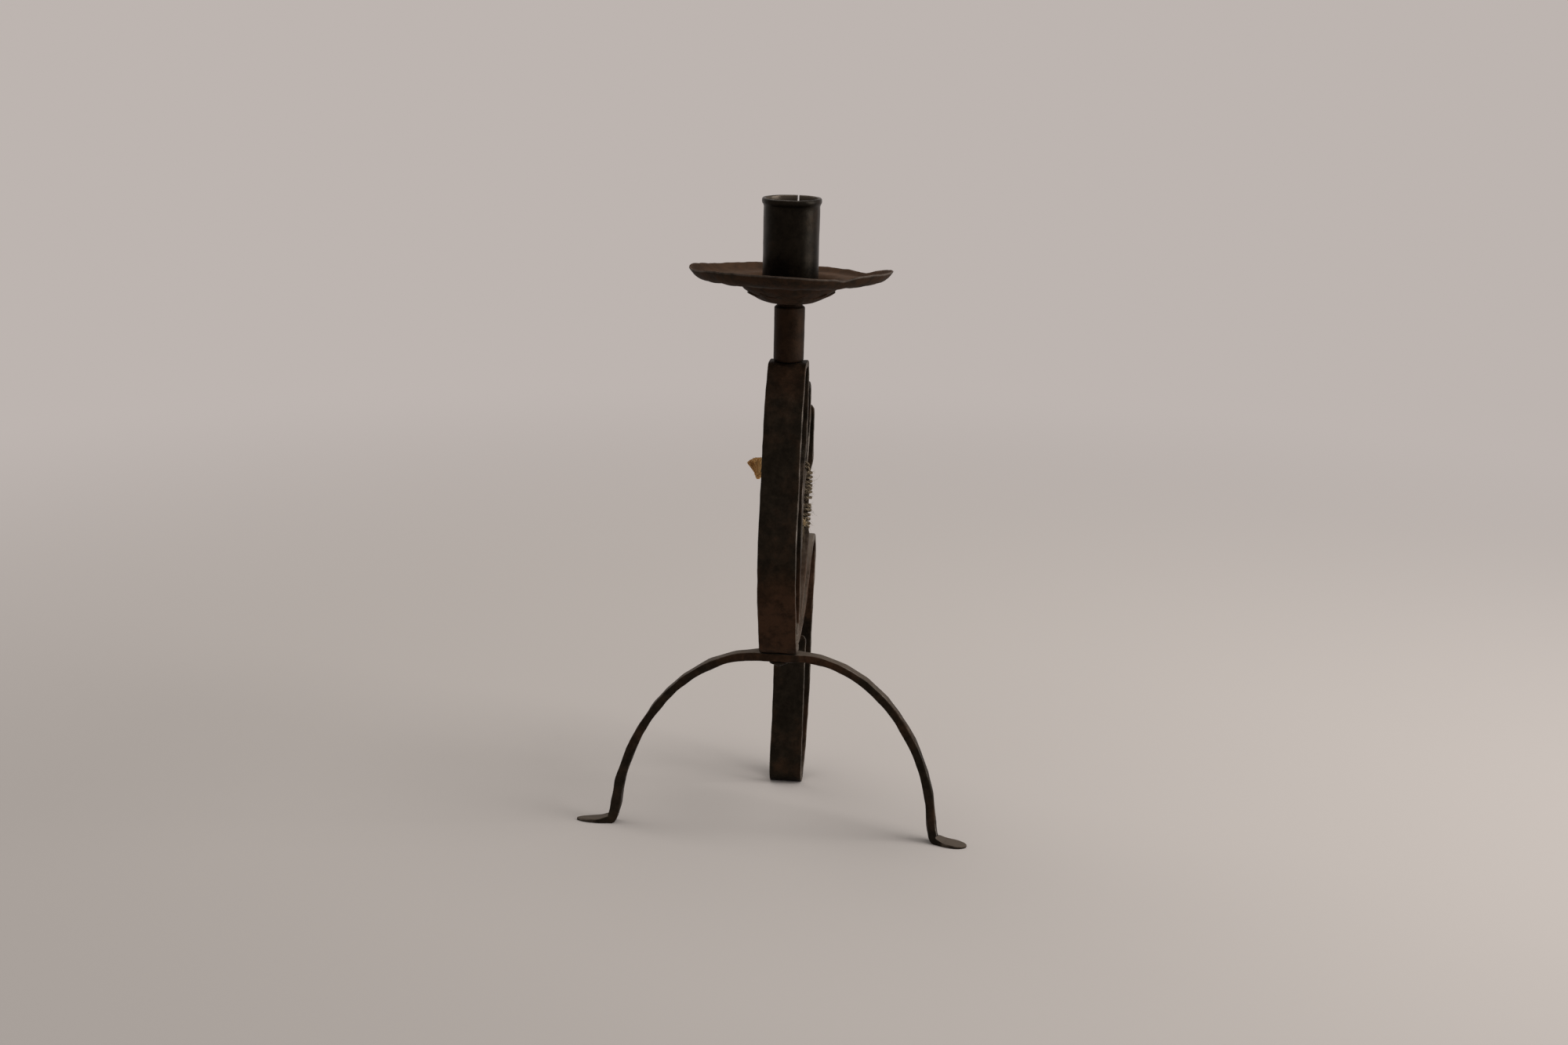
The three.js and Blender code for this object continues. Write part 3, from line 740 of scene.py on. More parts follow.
def bar_outline(width, thickness, rounding, thick_steps, wide_steps):
    """Places round a bar with rounded corners, each with its outward direction and nearness to a corner."""
    radius = min(rounding, 0.42 * thickness, 0.42 * width)
    half_width = width / 2 - radius
    half_thickness = thickness / 2 - radius
    corners = [
        Vector((half_width, -half_thickness)),
        Vector((half_width, half_thickness)),
        Vector((-half_width, half_thickness)),
        Vector((-half_width, -half_thickness)),
    ]
    outline = []
    for turn, corner in enumerate(corners):
        for i in range(4):
            angle = math.radians(90 * (turn - 1) + 30 * i)
            out = Vector((math.cos(angle), math.sin(angle)))
            outline.append((corner + radius * out, out, 1.0 if i in (1, 2) else 0.55))
        side_out = Vector((math.cos(math.radians(90 * turn)), math.sin(math.radians(90 * turn))))
        following = corners[(turn + 1) % 4]
        steps = wide_steps if turn % 2 else thick_steps
        by_corner = 0.3 * radius / max((following - corner).length, radius)
        for share in (by_corner, *(i / steps for i in range(1, steps)), 1 - by_corner):
            outline.append((corner.lerp(following, share) + radius * side_out, side_out, 0.0))
    return outline


def rounded_stations(length, spacing, rounding):
    """Distances along a bar with how far its section draws in there to round its two ends."""
    near_end = [
        (rounding * (1 - math.cos(angle)), rounding * (1 - math.sin(angle)))
        for angle in (0, math.pi / 6, math.pi / 3)
    ]
    count = math.ceil((length - 2 * rounding) / spacing)
    middle = [(mix(rounding, length - rounding, i / count), 0.0) for i in range(count + 1)]
    return near_end + middle + [(length - at, inset) for at, inset in reversed(near_end)]


def forged_bar(line, size_at, across, hammer, seed, steps, spacing=1.5 * MM, rounding=0.7 * MM):
    """A bar hammered along a line. Its width lies as near to the given direction as the line allows."""
    mark_size, mark_depth, edge = hammer
    skin = Skin("wear_and_painted_light", "hollow", "warm", "dry")
    rings = []
    for distance, inset in rounded_stations(line.length, spacing, rounding):
        point = line.point(distance)
        tangent = line.tangent(distance)
        wide = (across - tangent * across.dot(tangent)).normalized()
        thick = tangent.cross(wide)
        width, thickness = size_at(distance)
        width *= 1 + 0.014 * noise.noise(Vector((distance / (11 * MM), seed, 0)))
        side = ease(2, 4, width / thickness)
        ring = []
        wear_and_painted_light = []
        hollow = []
        warm = []
        dry = []
        for place, out, corner in bar_outline(width, thickness, edge, *steps):
            spot = point + wide * place.x + thick * place.y
            facing = wide * out.x + thick * out.y
            mark = hammered(spot, mark_size, seed)
            waver = noise.noise(spot / (14 * MM))
            spot += facing * (mark_depth * mark * (1 - 0.6 * corner) - inset)
            spot.z = max(spot.z, 0)
            ring.append(spot)
            # Worn corners, and painted light: the narrow sides get a share of wear so that they look lit.
            wear_and_painted_light.append(max(0.75 * corner, 0.6 * side * abs(out.x)) + 0.16 * mark + 0.25 * corner * waver)
            hollow.append(max(-mark, 0) * (1 - corner))
            warm.append(warmth(spot.z))
            # Painted light with dust: faces turned up and the narrow sides are made paler, as if lit from
            # above and from the side. Under the drip pan, painted shade keeps the loop's crown darker.
            dry.append(max(facing.z * clear_of_pan_shade(spot.z), side * abs(out.x) * (0.72 + 0.4 * waver)))
        rings.append(skin.ring(ring, wear_and_painted_light, hollow, warm, dry))
    for one, two in zip(rings, rings[1:]):
        skin.bridge(one, two)
    skin.cap(rings[0])
    skin.cap(rings[-1])
    return skin


def leaf_size(line, width_at):
    """A rule for the width and thickness of a leaf whose free end has rounded corners."""
    corner = 3 * MM

    def size_at(distance):
        short = max(corner - (line.length - distance), 0)
        inset = corner - math.sqrt(corner**2 - short**2)
        return width_at(distance) - 2 * inset, BAR_THICKNESS

    return size_at


def warmth(height):
    """How brown the bars are at a height: most just above the joint and under the post."""
    joint = 1 - ease(4 * MM, 34 * MM, abs(height - ARCH_TOP - 16 * MM))
    crown = ease(LOOP_TOP - 34 * MM, LOOP_TOP - 4 * MM, height)
    return max(1.2 * joint, 0.3 * crown)


def clear_of_pan_shade(height):
    """How much of the painted top light reaches a height: the drip pan's painted shade keeps it off the
    loop's crown.
    """
    return 1 - 0.85 * ease(LOOP_TOP - 16 * MM, LOOP_TOP - 5 * MM, height)


def bends(from_depth, reach, from_height, rise, shares):
    """Bends in the middle plane, given as shares of a reach and of a rise from a depth and a height."""
    return [
        CANDLE + Vector((0, from_depth + depth * reach, from_height + height * rise))
        for depth, height in shares
    ]


def seat_height(layer):
    """Height of the middle of a bar in the joint, counted up from the arch."""
    return ARCH_TOP + layer * BAR_LAYER - BAR_THICKNESS / 2


def loop_line():
    """The front leaf: up from the joint, over the top under the post and down again to the joint."""
    front_seat = seat_height(1)
    back_seat = seat_height(4)
    start = [(0.88, 0), (0.04, 0), (-0.44, 0), (-1.06, 0.24), (-1.34, 0.8)]
    front = [(0.824, 0.155), (0.944, 0.232), (1, 0.326), (0.997, 0.412)]
    front += [(0.907, 0.499), (0.811, 0.579), (0.625, 0.774), (0.443, 0.89)]
    crown = [(-1.06, 0.6), (-0.76, 0.15), (-0.5, 0.017), (-0.23, 0)]
    crown += [(0.23, 0), (0.5, 0.017), (0.75, 0.15), (0.94, 0.6)]
    back = [(1, 0.876), (0.955, 0.781), (0.768, 0.709), (0.395, 0.637)]
    back += [(0.085, 0.575), (0, 0.507), (0, 0.449), (0, 0.289)]
    seat = [(0, 1.8), (0, 0.76), (-0.2, 0.22), (-0.68, 0)]
    return BentLine(
        bends(ARCH_DEPTH, SEAT_BEND, front_seat, SEAT_BEND, start)
        + bends(0, -LOOP_BULGE, ARCH_TOP, LOOP_RISE, front)
        + bends(0, LOOP_CROWN, ARCH_TOP + LOOP_RISE, -LOOP_CROWN, crown)
        + bends(LOOP_BACK_DEPTH, LOOP_CROWN - LOOP_BACK_DEPTH, ARCH_TOP, LOOP_RISE, back)
        + bends(LOOP_BACK_DEPTH, SEAT_BEND, back_seat, SEAT_BEND, seat)
        + bends(ARCH_DEPTH, SEAT_BEND, back_seat, SEAT_BEND, [(-0.56, 0)])
    )


def short_leaf_line():
    """The short leaf on the loop's back leg."""
    depth = LOOP_BACK_DEPTH + BAR_LAYER
    shares = [(0, 0.355), (0, 0.42), (0, 0.47), (0.088, 0.521), (0.246, 0.572), (0.488, 0.619)]
    shares += [(0.74, 0.676), (0.905, 0.731), (0.985, 0.789), (1, 0.839), (0.941, 0.887), (0.802, 0.919)]
    return BentLine(bends(depth, SHORT_LEAF_REACH + ARCH_DEPTH - depth, ARCH_TOP, LOOP_RISE, shares))


def long_leaf_line():
    """The long leaf that carries the twine."""
    seat = seat_height(3)
    shares = [(0.177, 0.098), (0.282, 0.143), (0.395, 0.19), (0.495, 0.238), (0.603, 0.306)]
    shares += [(0.747, 0.391), (0.865, 0.474), (0.946, 0.571), (0.986, 0.703), (0.982, 0.865), (1, 1)]
    return BentLine(
        bends(ARCH_DEPTH, SEAT_BEND, seat, SEAT_BEND, [(-0.6, 0), (0.92, 0), (1.12, 0)])
        + bends(ARCH_DEPTH, LONG_LEAF_REACH, ARCH_TOP, LONG_LEAF_RISE, shares)
    )


def tail_line():
    """The tail bar: back and up from the joint, down to the rear foot and up again as a hairpin."""
    seat = seat_height(2)
    rise = [(0.203, 0.166), (0.283, 0.224), (0.377, 0.31), (0.507, 0.456), (0.65, 0.71), (0.774, 0.902)]
    rise += [(0.873, 1), (0.953, 0.969), (1, 0.819), (0.999, 0.606), (0.96, 0.358), (0.913, 0.078)]
    fall = [(0.882, 0.88), (0.876, 0.659), (0.851, 0.443), (0.784, 0.24), (0.692, 0.103)]
    foot = [(1.1, 0), (1, -0.7), (0.913, 0.2)]
    hairpin = [(0.9, 0.132), (0.974, 0.335), (1.026, 0.539), (1.074, 0.719), (1.17, 0.904)]
    return BentLine(
        bends(ARCH_DEPTH, SEAT_BEND, seat, SEAT_BEND, [(-0.6, 0), (1.88, 0), (2.12, 0)])
        + bends(ARCH_DEPTH, TAIL_REACH, ARCH_TOP, TAIL_RISE, rise)
        + bends(ARCH_DEPTH, TAIL_REACH, 0, ARCH_TOP, fall)
        + bends(ARCH_DEPTH, REAR_FOOT_REACH, BAR_THICKNESS, BAR_THICKNESS, foot)
        + bends(ARCH_DEPTH, REAR_FOOT_REACH, 0, ARCH_TOP, hairpin)
    )


def arch_line():
    """The front arch from the left toe over the joint to the right toe."""
    flat = 0.55 * BAR_WIDTH
    half = [(0, ARCH_RISE), (0.9 * flat, ARCH_RISE)]
    sweeps = 9
    for i in range(sweeps):
        angle = math.pi / 2 * (1 - 0.95 * i / (sweeps - 1))
        x = flat + (ARCH_HALF_SPAN - flat) * max(math.cos(angle), 0) ** (2 / ARCH_POWER)
        half.append((x, ARCH_RISE * math.sin(angle) ** (2 / ARCH_POWER)))
    half.append((ARCH_HALF_SPAN + 0.07 * TOE_LENGTH, 0.46 * ARCH_RIGHT_BAR))
    half.append((ARCH_HALF_SPAN + 0.22 * TOE_LENGTH, 0.28 * ARCH_RIGHT_BAR))
    half.append((ARCH_HALF_SPAN + 0.6 * TOE_LENGTH, 0.42 * TOE_THICKNESS))
    half.append((ARCH_HALF_SPAN + 0.97 * TOE_LENGTH, 0.3 * TOE_THICKNESS))

    def knot(x, z):
        lean = max(z - TOE_THICKNESS / 2, 0) / ARCH_RISE
        turn = max(x - ARCH_HALF_SPAN, 0) * math.tan(RIGHT_TOE_TURN)
        return CANDLE + Vector((x, mix(FOOT_DEPTH, ARCH_DEPTH, lean) - turn, z))

    def left_knot(x, z):
        beyond = max(x - ARCH_HALF_SPAN, 0)
        return knot(-ARCH_LEFT_SHARE * (x - beyond) - LEFT_TOE_SHARE * beyond, z)

    left = [left_knot(x, z) for x, z in reversed(half[1:])]
    return BentLine(left + [knot(x, z) for x, z in half])


def arch_size(line):
    """A rule for the width and thickness of the arch's bar at a distance along it."""

    def size_at(distance):
        from_tip = min(distance, line.length - distance)
        from_top = abs(distance - line.length / 2)
        on_left = distance < line.length / 2
        toe_width = LEFT_TOE_WIDTH if on_left else TOE_WIDTH
        tip = 1.4 * TOE_WIDTH if on_left else 0.7 * TOE_WIDTH
        on_toe = 1 - ease(0.5 * TOE_LENGTH, 1.04 * TOE_LENGTH, from_tip)
        toe = TOE_THICKNESS * mix(0.5, 1, ease(0, 0.7 * TOE_LENGTH, from_tip))
        boss = 1 - ease(0.22 * BAR_WIDTH, 0.78 * BAR_WIDTH, from_top)
        round_end = math.sqrt(1 - (1 - min(from_tip / tip, 1)) ** 2)
        width = mix(mix(ARCH_BAR_WIDTH, ARCH_BOSS_WIDTH, boss), toe_width, on_toe)
        leg_bar = ARCH_LEFT_BAR if on_left else ARCH_RIGHT_BAR
        uneven = 1 + 0.16 * (1 - boss) * noise.noise(Vector((distance / (8 * MM), 5.2, 0)))
        bar = uneven * mix(ARCH_BAR, leg_bar, ease(0.2 * line.length, 0.4 * line.length, from_top))
        return width * max(round_end, 0.2), mix(bar, toe, on_toe)

    return size_at


# Turned pieces


def outward(angle):
    """Direction away from the candle's axis. Angles start in front and go round by the right."""
    return Vector((math.sin(angle), -math.cos(angle), 0))


def finer(outline, longest):
    """An outline with more places, none further apart in radius and height than the given length."""
    result = []
    for one, two in zip(outline, outline[1:]):
        steps = max(math.ceil(math.dist(one[:2], two[:2]) / longest), 1)
        result += [tuple(Vector(one).lerp(Vector(two), i / steps)) for i in range(steps)]
    return result + [outline[-1]]


def turned(outline_at, steps, closed, start=0.0, stop=2 * math.pi, marks=("wear_and_painted_light",)):
    """A piece turned from places of radius, height and marks, which may change with the angle."""
    whole = stop - start > 2 * math.pi - 1e-6
    skin = Skin("hollow", *marks)
    rings = []
    for i in range(steps if whole else steps + 1):
        angle = mix(start, stop, i / steps)
        outline = outline_at(angle)
        out = outward(angle)
        points = [CANDLE + out * place[0] + Vector((0, 0, place[1])) for place in outline]
        hollow = [max(-hammered(point, 5 * MM, 4), 0) for point in points]
        numbers = [[place[2 + i] for place in outline] for i in range(len(marks))]
        rings.append(skin.ring(points, hollow, *numbers))
    for one, two in zip(rings, rings[1:] + ([rings[0]] if whole else [])):
        skin.bridge(one, two, closed)
    if not whole:
        skin.cap(rings[0])
        skin.cap(rings[-1])
    return skin


def lathe(profile, longest, steps, closed):
    """A plain turned piece with slight unevenness, from places of radius, height and wear."""
    fine = finer(profile, longest)

    def outline_at(angle):
        out = outward(angle)
        return [
            (r * (1 + 0.012 * noise.noise((out * r + Vector((0, 0, h))) / (5 * MM))), h, wear_and_painted_light)
            for r, h, wear_and_painted_light in fine
        ]

    return turned(outline_at, steps, closed)


def rivet(length, head):
    """A rivet of a length and a head radius, along Z about the origin. The hammer domed both heads."""
    half = length / 2 - RIVET_RISE
    dome = [(0.0, 1.0, 0.3), (0.3, 0.97, 0.3), (0.6, 0.82, 0.3)]
    dome += [(0.85, 0.5, 0.3), (1.0, 0.12, 0.4), (1.0, 0.0, 0.2)]
    top = [(head * r, half + RIVET_RISE * h, wear_and_painted_light) for r, h, wear_and_painted_light in dome]
    profile = top + [(RIVET_SHANK, half, 0.0), (RIVET_SHANK, -half, 0.0)]
    profile += [(r, -h, wear_and_painted_light) for r, h, wear_and_painted_light in reversed(top)]
    skin = lathe(profile, 0.6 * MM, 36, False)
    skin.move(Matrix.Translation(-CANDLE))
    shift = Vector((RIVET_SHANK / MM, 0, 0))
    skin.points = [point * (1 + 0.05 * noise.noise(point / (1.4 * MM) + shift)) for point in skin.points]
    return skin


def well_rise(radius):
    """Rise of the well's curved wall over its flat bottom."""
    return WELL_BOWL * (max(radius - WELL_FLAT, 0) / (WELL_RADIUS - WELL_FLAT)) ** 2


def sheet_outline(under, wear_at):
    """The whole outline of a sheet from its underside, with a rounded outer edge."""
    upper = []
    for i, (radius, height) in enumerate(under):
        r0, h0 = under[max(i - 1, 0)]
        r1, h1 = under[min(i + 1, len(under) - 1)]
        length = math.hypot(r1 - r0, h1 - h0)
        upper.append((radius - SHEET * (h1 - h0) / length, height + SHEET * (r1 - r0) / length))
    tip = Vector(under[-1]).lerp(Vector(upper[-1]), 0.5)
    beyond = (Vector(under[-1]) - Vector(under[-2])).normalized() * 0.35 * SHEET
    edge = tuple(tip + beyond)
    # The last number of each place marks the underside, which the pan's finish darkens as painted shade.
    outline = [(r, h, wear_at(r), 1.0) for r, h in under]
    outline.append((*edge, wear_at(edge[0]), 0.5))
    return outline + [(r, h, wear_at(r), 0.0) for r, h in reversed(upper)]


def pan_dent(spot, radius, sizes):
    """Height of the pan's hammered dents, which its flat bottom doesn't have."""
    dent = hammered(spot, 7.5 * MM, 9) + 0.5 * noise.noise(spot / (16 * MM))
    return sizes.pan_dents * dent * ease(0.5 * WELL_RADIUS, 0.9 * WELL_RADIUS, radius)


def washer_outline(sizes):
    """The jagged washer under the pan. It hugs the well, and its points stand off on the left and right."""

    def outline_at(angle):
        tooth = abs(math.sin(WASHER_TIPS * angle / 2 + 0.6 * math.sin(angle + 1)))
        out = outward(angle)
        ragged = 0.02 * noise.noise(out * 9)
        edge = WASHER_RADIUS * (0.84 + ragged + 0.16 * (1 - tooth) ** 1.4)
        sideways = abs(math.sin(angle)) ** 6
        bent = 0.7 * MM * sideways * (1 - tooth)
        under = []
        upper = []
        for i in range(25):
            radius = mix(BORE_RADIUS, edge, i / 24)
            well = PAN_FOOT + well_rise(radius) + pan_dent(CANDLE + out * radius, radius, sizes)
            top = well - 0.06 * MM - bent * ease(0.8, 1, radius / edge)
            thin = mix(1, 0.12 + 0.7 * sideways, ease(0.6, 1, radius / edge))
            # Both faces of the washer are marked as underside, so it takes the pan's painted shade all
            # over.
            upper.append((radius, top, 0.0, 1.0))
            under.append((radius, top - SHEET * thin, 0.0, 1.0))
        return under + upper[::-1]

    return outline_at


def swell(angle, middle, half_width, power):
    """1 at an angle given in degrees, and 0 well past a half width. A higher power has a flatter top."""
    return math.exp(-(((angle - math.radians(middle)) / math.radians(half_width)) ** power))


def pan_outline(sizes):
    """The drip pan: rounded well, ledge and a wavy rim with a pulled lobe on the right."""
    ledge = PAN_FOOT + WELL_DEPTH

    def outline_at(angle):
        out = outward(angle)
        sway = 0.48 * math.sin(2 * angle) - math.sin(3 * angle) + 0.22 * math.sin(7 * angle + 1)
        fold = swell(angle, 86, 42, 6)
        crease = swell(angle, 39, 6, 2)
        back_crease = swell(angle, 134, 7, 2)
        nick = noise.noise(out * 7) + 0.6 * noise.noise(out * 19)
        left_lobe = max(math.cos(angle + 1.6), 0) ** 12
        back_lobe = max(math.cos(angle + 2.6), 0) ** 12
        wave = PAN_WAVE * (sway + 2.2 * left_lobe - 0.9 * back_lobe)
        wave += 0.3 * MM * fold - 1.2 * MM * crease - 1.0 * MM * back_crease
        lobes = 0.011 * math.sin(4 * angle + 1) + 0.008 * math.sin(7 * angle) - 0.016 * left_lobe
        rim = PAN_RADIUS * (1 + lobes)
        rim += 0.4 * MM * fold - 1.0 * MM * crease - 0.5 * MM * back_crease + 0.7 * sizes.rim_nicks * nick
        slant = PAN_SLANT * math.cos(angle)
        wall = [mix(WELL_FLAT, WELL_RADIUS, share) for share in (0, 0.31, 0.56, 0.81, 0.96)]
        knots = [(radius, PAN_FOOT + well_rise(radius)) for radius in [BORE_RADIUS, *wall]]
        knots += [
            (1.065 * WELL_RADIUS, ledge - 0.1 * RIM_RISE),
            (0.66 * rim, ledge + 0.02 * RIM_RISE + 0.2 * slant),
            (0.86 * rim, ledge + 0.05 * RIM_RISE + 0.55 * slant + 0.3 * wave),
            (0.94 * rim, ledge + 0.34 * RIM_RISE + 0.8 * slant + 0.7 * wave),
            (rim, ledge + RIM_RISE + slant + wave + 0.5 * sizes.rim_nicks * nick),
        ]
        line = BentLine([Vector((radius, 0, height)) for radius, height in knots], 8)
        steps = 44
        under = []
        for i in range(steps + 1):
            place = line.point(line.length * i / steps)
            spot = CANDLE + out * place.x
            stiff = 1 - 0.65 * ease(0.8, 0.97, place.x / rim)
            under.append((place.x, place.z + stiff * pan_dent(spot, place.x, sizes)))
        return sheet_outline(under, lambda r: ease(0.97 * rim, rim, r))

    return outline_at


def cup_outline(angle):
    """The rolled cup: turned-in foot, plain wall and a beaded rim. Its inside is made paler."""
    out = outward(angle)
    inner = CUP_RADIUS - SHEET
    profile = [
        (inner - CUP_FLANGE, CUP_FOOT, 0.1),
        (CUP_RADIUS - 0.8 * SHEET, CUP_FOOT, 0.2),
        (CUP_RADIUS - 0.25 * SHEET, CUP_FOOT + 0.25 * SHEET, 0.6),
        (CUP_RADIUS, CUP_FOOT + 0.8 * SHEET, 0.3),
        (CUP_RADIUS, CUP_TOP - 4.6 * CUP_BEAD, 0.0),
        (CUP_RADIUS + 0.25 * CUP_BEAD, CUP_TOP - 3.7 * CUP_BEAD, 0.1),
        (CUP_RADIUS + 0.75 * CUP_BEAD, CUP_TOP - 2.9 * CUP_BEAD, 0.2),
        (CUP_RADIUS + CUP_BEAD, CUP_TOP - 2 * CUP_BEAD, 0.4),
        (CUP_RADIUS + 0.9 * CUP_BEAD, CUP_TOP - 0.7 * CUP_BEAD, 0.7),
        (CUP_RADIUS + 0.5 * CUP_BEAD, CUP_TOP - 0.1 * CUP_BEAD, 0.8),
        (CUP_RADIUS - 0.2 * SHEET, CUP_TOP, 0.8),
        (inner + 0.2 * SHEET, CUP_TOP - 0.2 * SHEET, 0.8),
        (inner, CUP_TOP - 0.7 * SHEET, 0.4),
        (inner, CUP_FOOT + SHEET, 0.0),
        (inner - CUP_FLANGE, CUP_FOOT + SHEET, 0.0),
        (inner - CUP_FLANGE, CUP_FOOT, 0.1),
    ]
    uneven = []
    for radius, height, wear_and_painted_light in finer(profile, 1.6 * MM)[:-1]:
        spot = out * CUP_RADIUS + Vector((0, 0, height))
        waver = 0.16 * MM * noise.noise(spot / (9 * MM)) + 0.05 * MM * noise.noise(spot / (2.5 * MM))
        top = ease(CUP_TOP - 4 * MM, CUP_TOP, height)
        inside = 1 - ease(inner, CUP_RADIUS, radius)
        uneven.append((radius + waver, height + 0.12 * MM * top * noise.noise(out * 2.5), wear_and_painted_light, inside))
    return uneven


# Twine


def twine_loop(turn, half_flat, end_radius):
    """Place on a loop round a bar after a number of turns: across the bar, and out of its face."""
    straight = 2 * half_flat
    bend = math.pi * end_radius
    way = (turn % 1) * 2 * (straight + bend)
    if way < bend:
        angle = way / end_radius - math.pi / 2
        return half_flat + end_radius * math.cos(angle), end_radius * math.sin(angle)
    if way < bend + straight:
        return half_flat - (way - bend), end_radius
    if way < 2 * bend + straight:
        angle = (way - bend - straight) / end_radius + math.pi / 2
        return -half_flat + end_radius * math.cos(angle), end_radius * math.sin(angle)
    return way - 2 * bend - straight - half_flat, -end_radius


def twine_foot():
    """Height at which the winding starts on the long leaf."""
    return ARCH_TOP + 0.455 * LONG_LEAF_RISE


def wound(line, width, from_height, first, last, pitch, sizes):
    """Points of twine wound round a bar, from one count of turns to another."""
    end_radius = BAR_THICKNESS / 2 + 0.52 * sizes.twine
    half_flat = width / 2 + 0.52 * sizes.twine - end_radius
    start = line.at_height(from_height)
    steps = 92
    points = []
    for i in range(round((last - first) * steps) + 1):
        turn = first + i / steps
        uneven = 0.7 * noise.noise(Vector((turn * 0.93, 3.1, 0)))
        wide, out = twine_loop(turn, half_flat, end_radius)
        slant = 0.5 * noise.noise(Vector((turn * 0.7, 9.4, 0))) * wide / half_flat
        distance = start + (turn - first + uneven + slant) * pitch
        tangent = line.tangent(distance)
        back = -Vector((1, 0, 0)).cross(tangent)
        slack = 1 + 0.05 * noise.noise(Vector((turn * 2.3, 0, 7)))
        points.append(line.point(distance) + Vector((wide * slack, 0, 0)) + back * out * slack)
    return points


def knot_place():
    """Middle of the knot, on the left of the short leaf."""
    depth = ARCH_DEPTH + 0.8 * SHORT_LEAF_REACH
    return CANDLE + Vector((-0.84 * BAR_WIDTH, depth, ARCH_TOP + 0.581 * LOOP_RISE))


def twine_route(sizes):
    """The twine's middle: up the long leaf, across to the short leaf, round it and out to the knot."""
    twine = sizes.twine
    pitch = WINDING / sizes.long_leaf_turns
    waist = BAR_WIDTH - WAIST + 0.1 * MM
    first = wound(long_leaf_line(), waist, twine_foot(), 0, sizes.long_leaf_turns, pitch, sizes)
    height = ARCH_TOP + 0.615 * LOOP_RISE
    second = wound(short_leaf_line(), BAR_WIDTH, height, 0.375, sizes.short_leaf_turns + 0.5, pitch, sizes)
    leave, meet = first[-1], second[0]
    crossing = BentLine(
        [
            leave,
            leave + twine * Vector((1.0, -0.64, 0.23)),
            leave.lerp(meet, 0.5) + twine * Vector((1.4, 0, -1.1)),
            meet + twine * Vector((1.0, 0.64, -0.73)),
            meet,
        ]
    )
    end = second[-1]
    knot = knot_place()
    outside = CANDLE.x - BAR_WIDTH / 2 - 1.9 * twine
    tail = BentLine(
        [
            end,
            end + twine * Vector((-1.2, 0, -0.1)),
            Vector((outside, end.y, end.z - 0.8 * twine)),
            Vector((outside, knot.y, knot.z + 2.6 * twine)),
            knot + twine * Vector((0.35, 0, 0.9)),
            knot,
        ]
    )
    step = 0.5 * MM
    joins = []
    for line in (crossing, tail):
        count = round(line.length / step)
        joins.append([line.point(line.length * i / count) for i in range(1, count)])
    return first + joins[0] + second + joins[1]


def travel(points, side):
    """Each point of a way with two directions across it, which turn little, and the way so far."""
    along = 0.0
    last = len(points) - 1
    for i, point in enumerate(points):
        before = points[max(i - 1, 0)]
        tangent = (points[min(i + 1, last)] - before).normalized()
        side = (side - tangent * side.dot(tangent)).normalized()
        along += (point - before).length
        yield point, side, tangent.cross(side), along


def tube(skin, points, radius_at, sides, tone):
    """Adds a closed tube along points. Its radius comes from the share of the way along it."""
    rings = []
    last = len(points) - 1
    turns = [2 * math.pi * j / sides for j in range(sides)]
    around = [abs(2 * j / sides - 1) for j in range(sides)]
    for i, (point, side, other, along) in enumerate(travel(points, Vector((0.31, 0.22, 0.93)))):
        reach = radius_at(i / last)
        ring = [point + reach * (math.cos(turn) * side + math.sin(turn) * other) for turn in turns]
        rings.append(skin.ring(ring, around, [along / MM] * sides, [tone] * sides))
    for one, two in zip(rings, rings[1:]):
        skin.bridge(one, two)
    skin.cap(rings[0])
    skin.cap(rings[-1])


def plies(skin, route, twine, lay, tones):
    """Adds the twisted plies of a twine along a route."""
    count = len(tones)
    for k, tone in enumerate(tones):
        points = []
        for point, side, other, along in travel(route, Vector((0.2, 0.9, 0.35))):
            angle = 2 * math.pi * (along / lay + k / count)
            bulge = 1 + 0.14 * noise.noise(Vector((along / (3 * MM), k * 5.0, 0)))
            offset = 0.24 * twine * bulge
            points.append(point + offset * (math.cos(angle) * side + math.sin(angle) * other))

        def radius_at(share, k=k):
            return 0.25 * twine * (1 + 0.2 * noise.noise(Vector((share * 400, k * 3.0, 1))))

        tube(skin, points, radius_at, 7, tone)


def stray(chance):
    """A way that chance picks."""
    return Vector([chance.uniform(-1, 1) for axis in range(3)])


def fibre(skin, start, direction, length, thickness, droop, tone, chance, stray_by=0.35, tip=0.3):
    """Adds one loose fibre that leaves a place in a direction and bends as chance has it."""
    points = [start]
    way = direction.normalized()
    for i in range(5):
        points.append(points[-1] + way * length / 5)
        way = (way + stray_by * stray(chance) - Vector((0, 0, droop))).normalized()
    tube(skin, points, lambda share: thickness * mix(1, tip, share), 3, tone)


def twine_fuzz(skin, route, sizes, chance):
    """Loose fibres that stand off the twine all along its way."""
    for i in range(sizes.fuzz):
        at = chance.randrange(1, len(route) - 1)
        tangent = (route[at + 1] - route[at - 1]).normalized()
        aside = stray(chance)
        out = (aside - tangent * aside.dot(tangent)).normalized()
        way = tangent * chance.choice((-1, 1)) + out * chance.uniform(0.25, 1.1)
        start = route[at] + out * 0.4 * sizes.twine
        length = chance.uniform(1, 2.6) * MM if chance.random() < 0.85 else chance.uniform(3, 6) * MM
        fibre(skin, start, way, length, chance.uniform(0.03, 0.06) * MM, 0.05, chance.random(), chance)


def knot_route(middle, radius):
    """A closed overhand knot, drawn up tight."""
    points = []
    for i in range(97):
        t = 2 * math.pi * i / 96
        x = math.sin(t) + 2 * math.sin(2 * t)
        y = math.cos(t) - 2 * math.cos(2 * t)
        points.append(middle + radius / 3 * Vector((x, -1.1 * math.sin(3 * t), y)))
    return points


# Operators


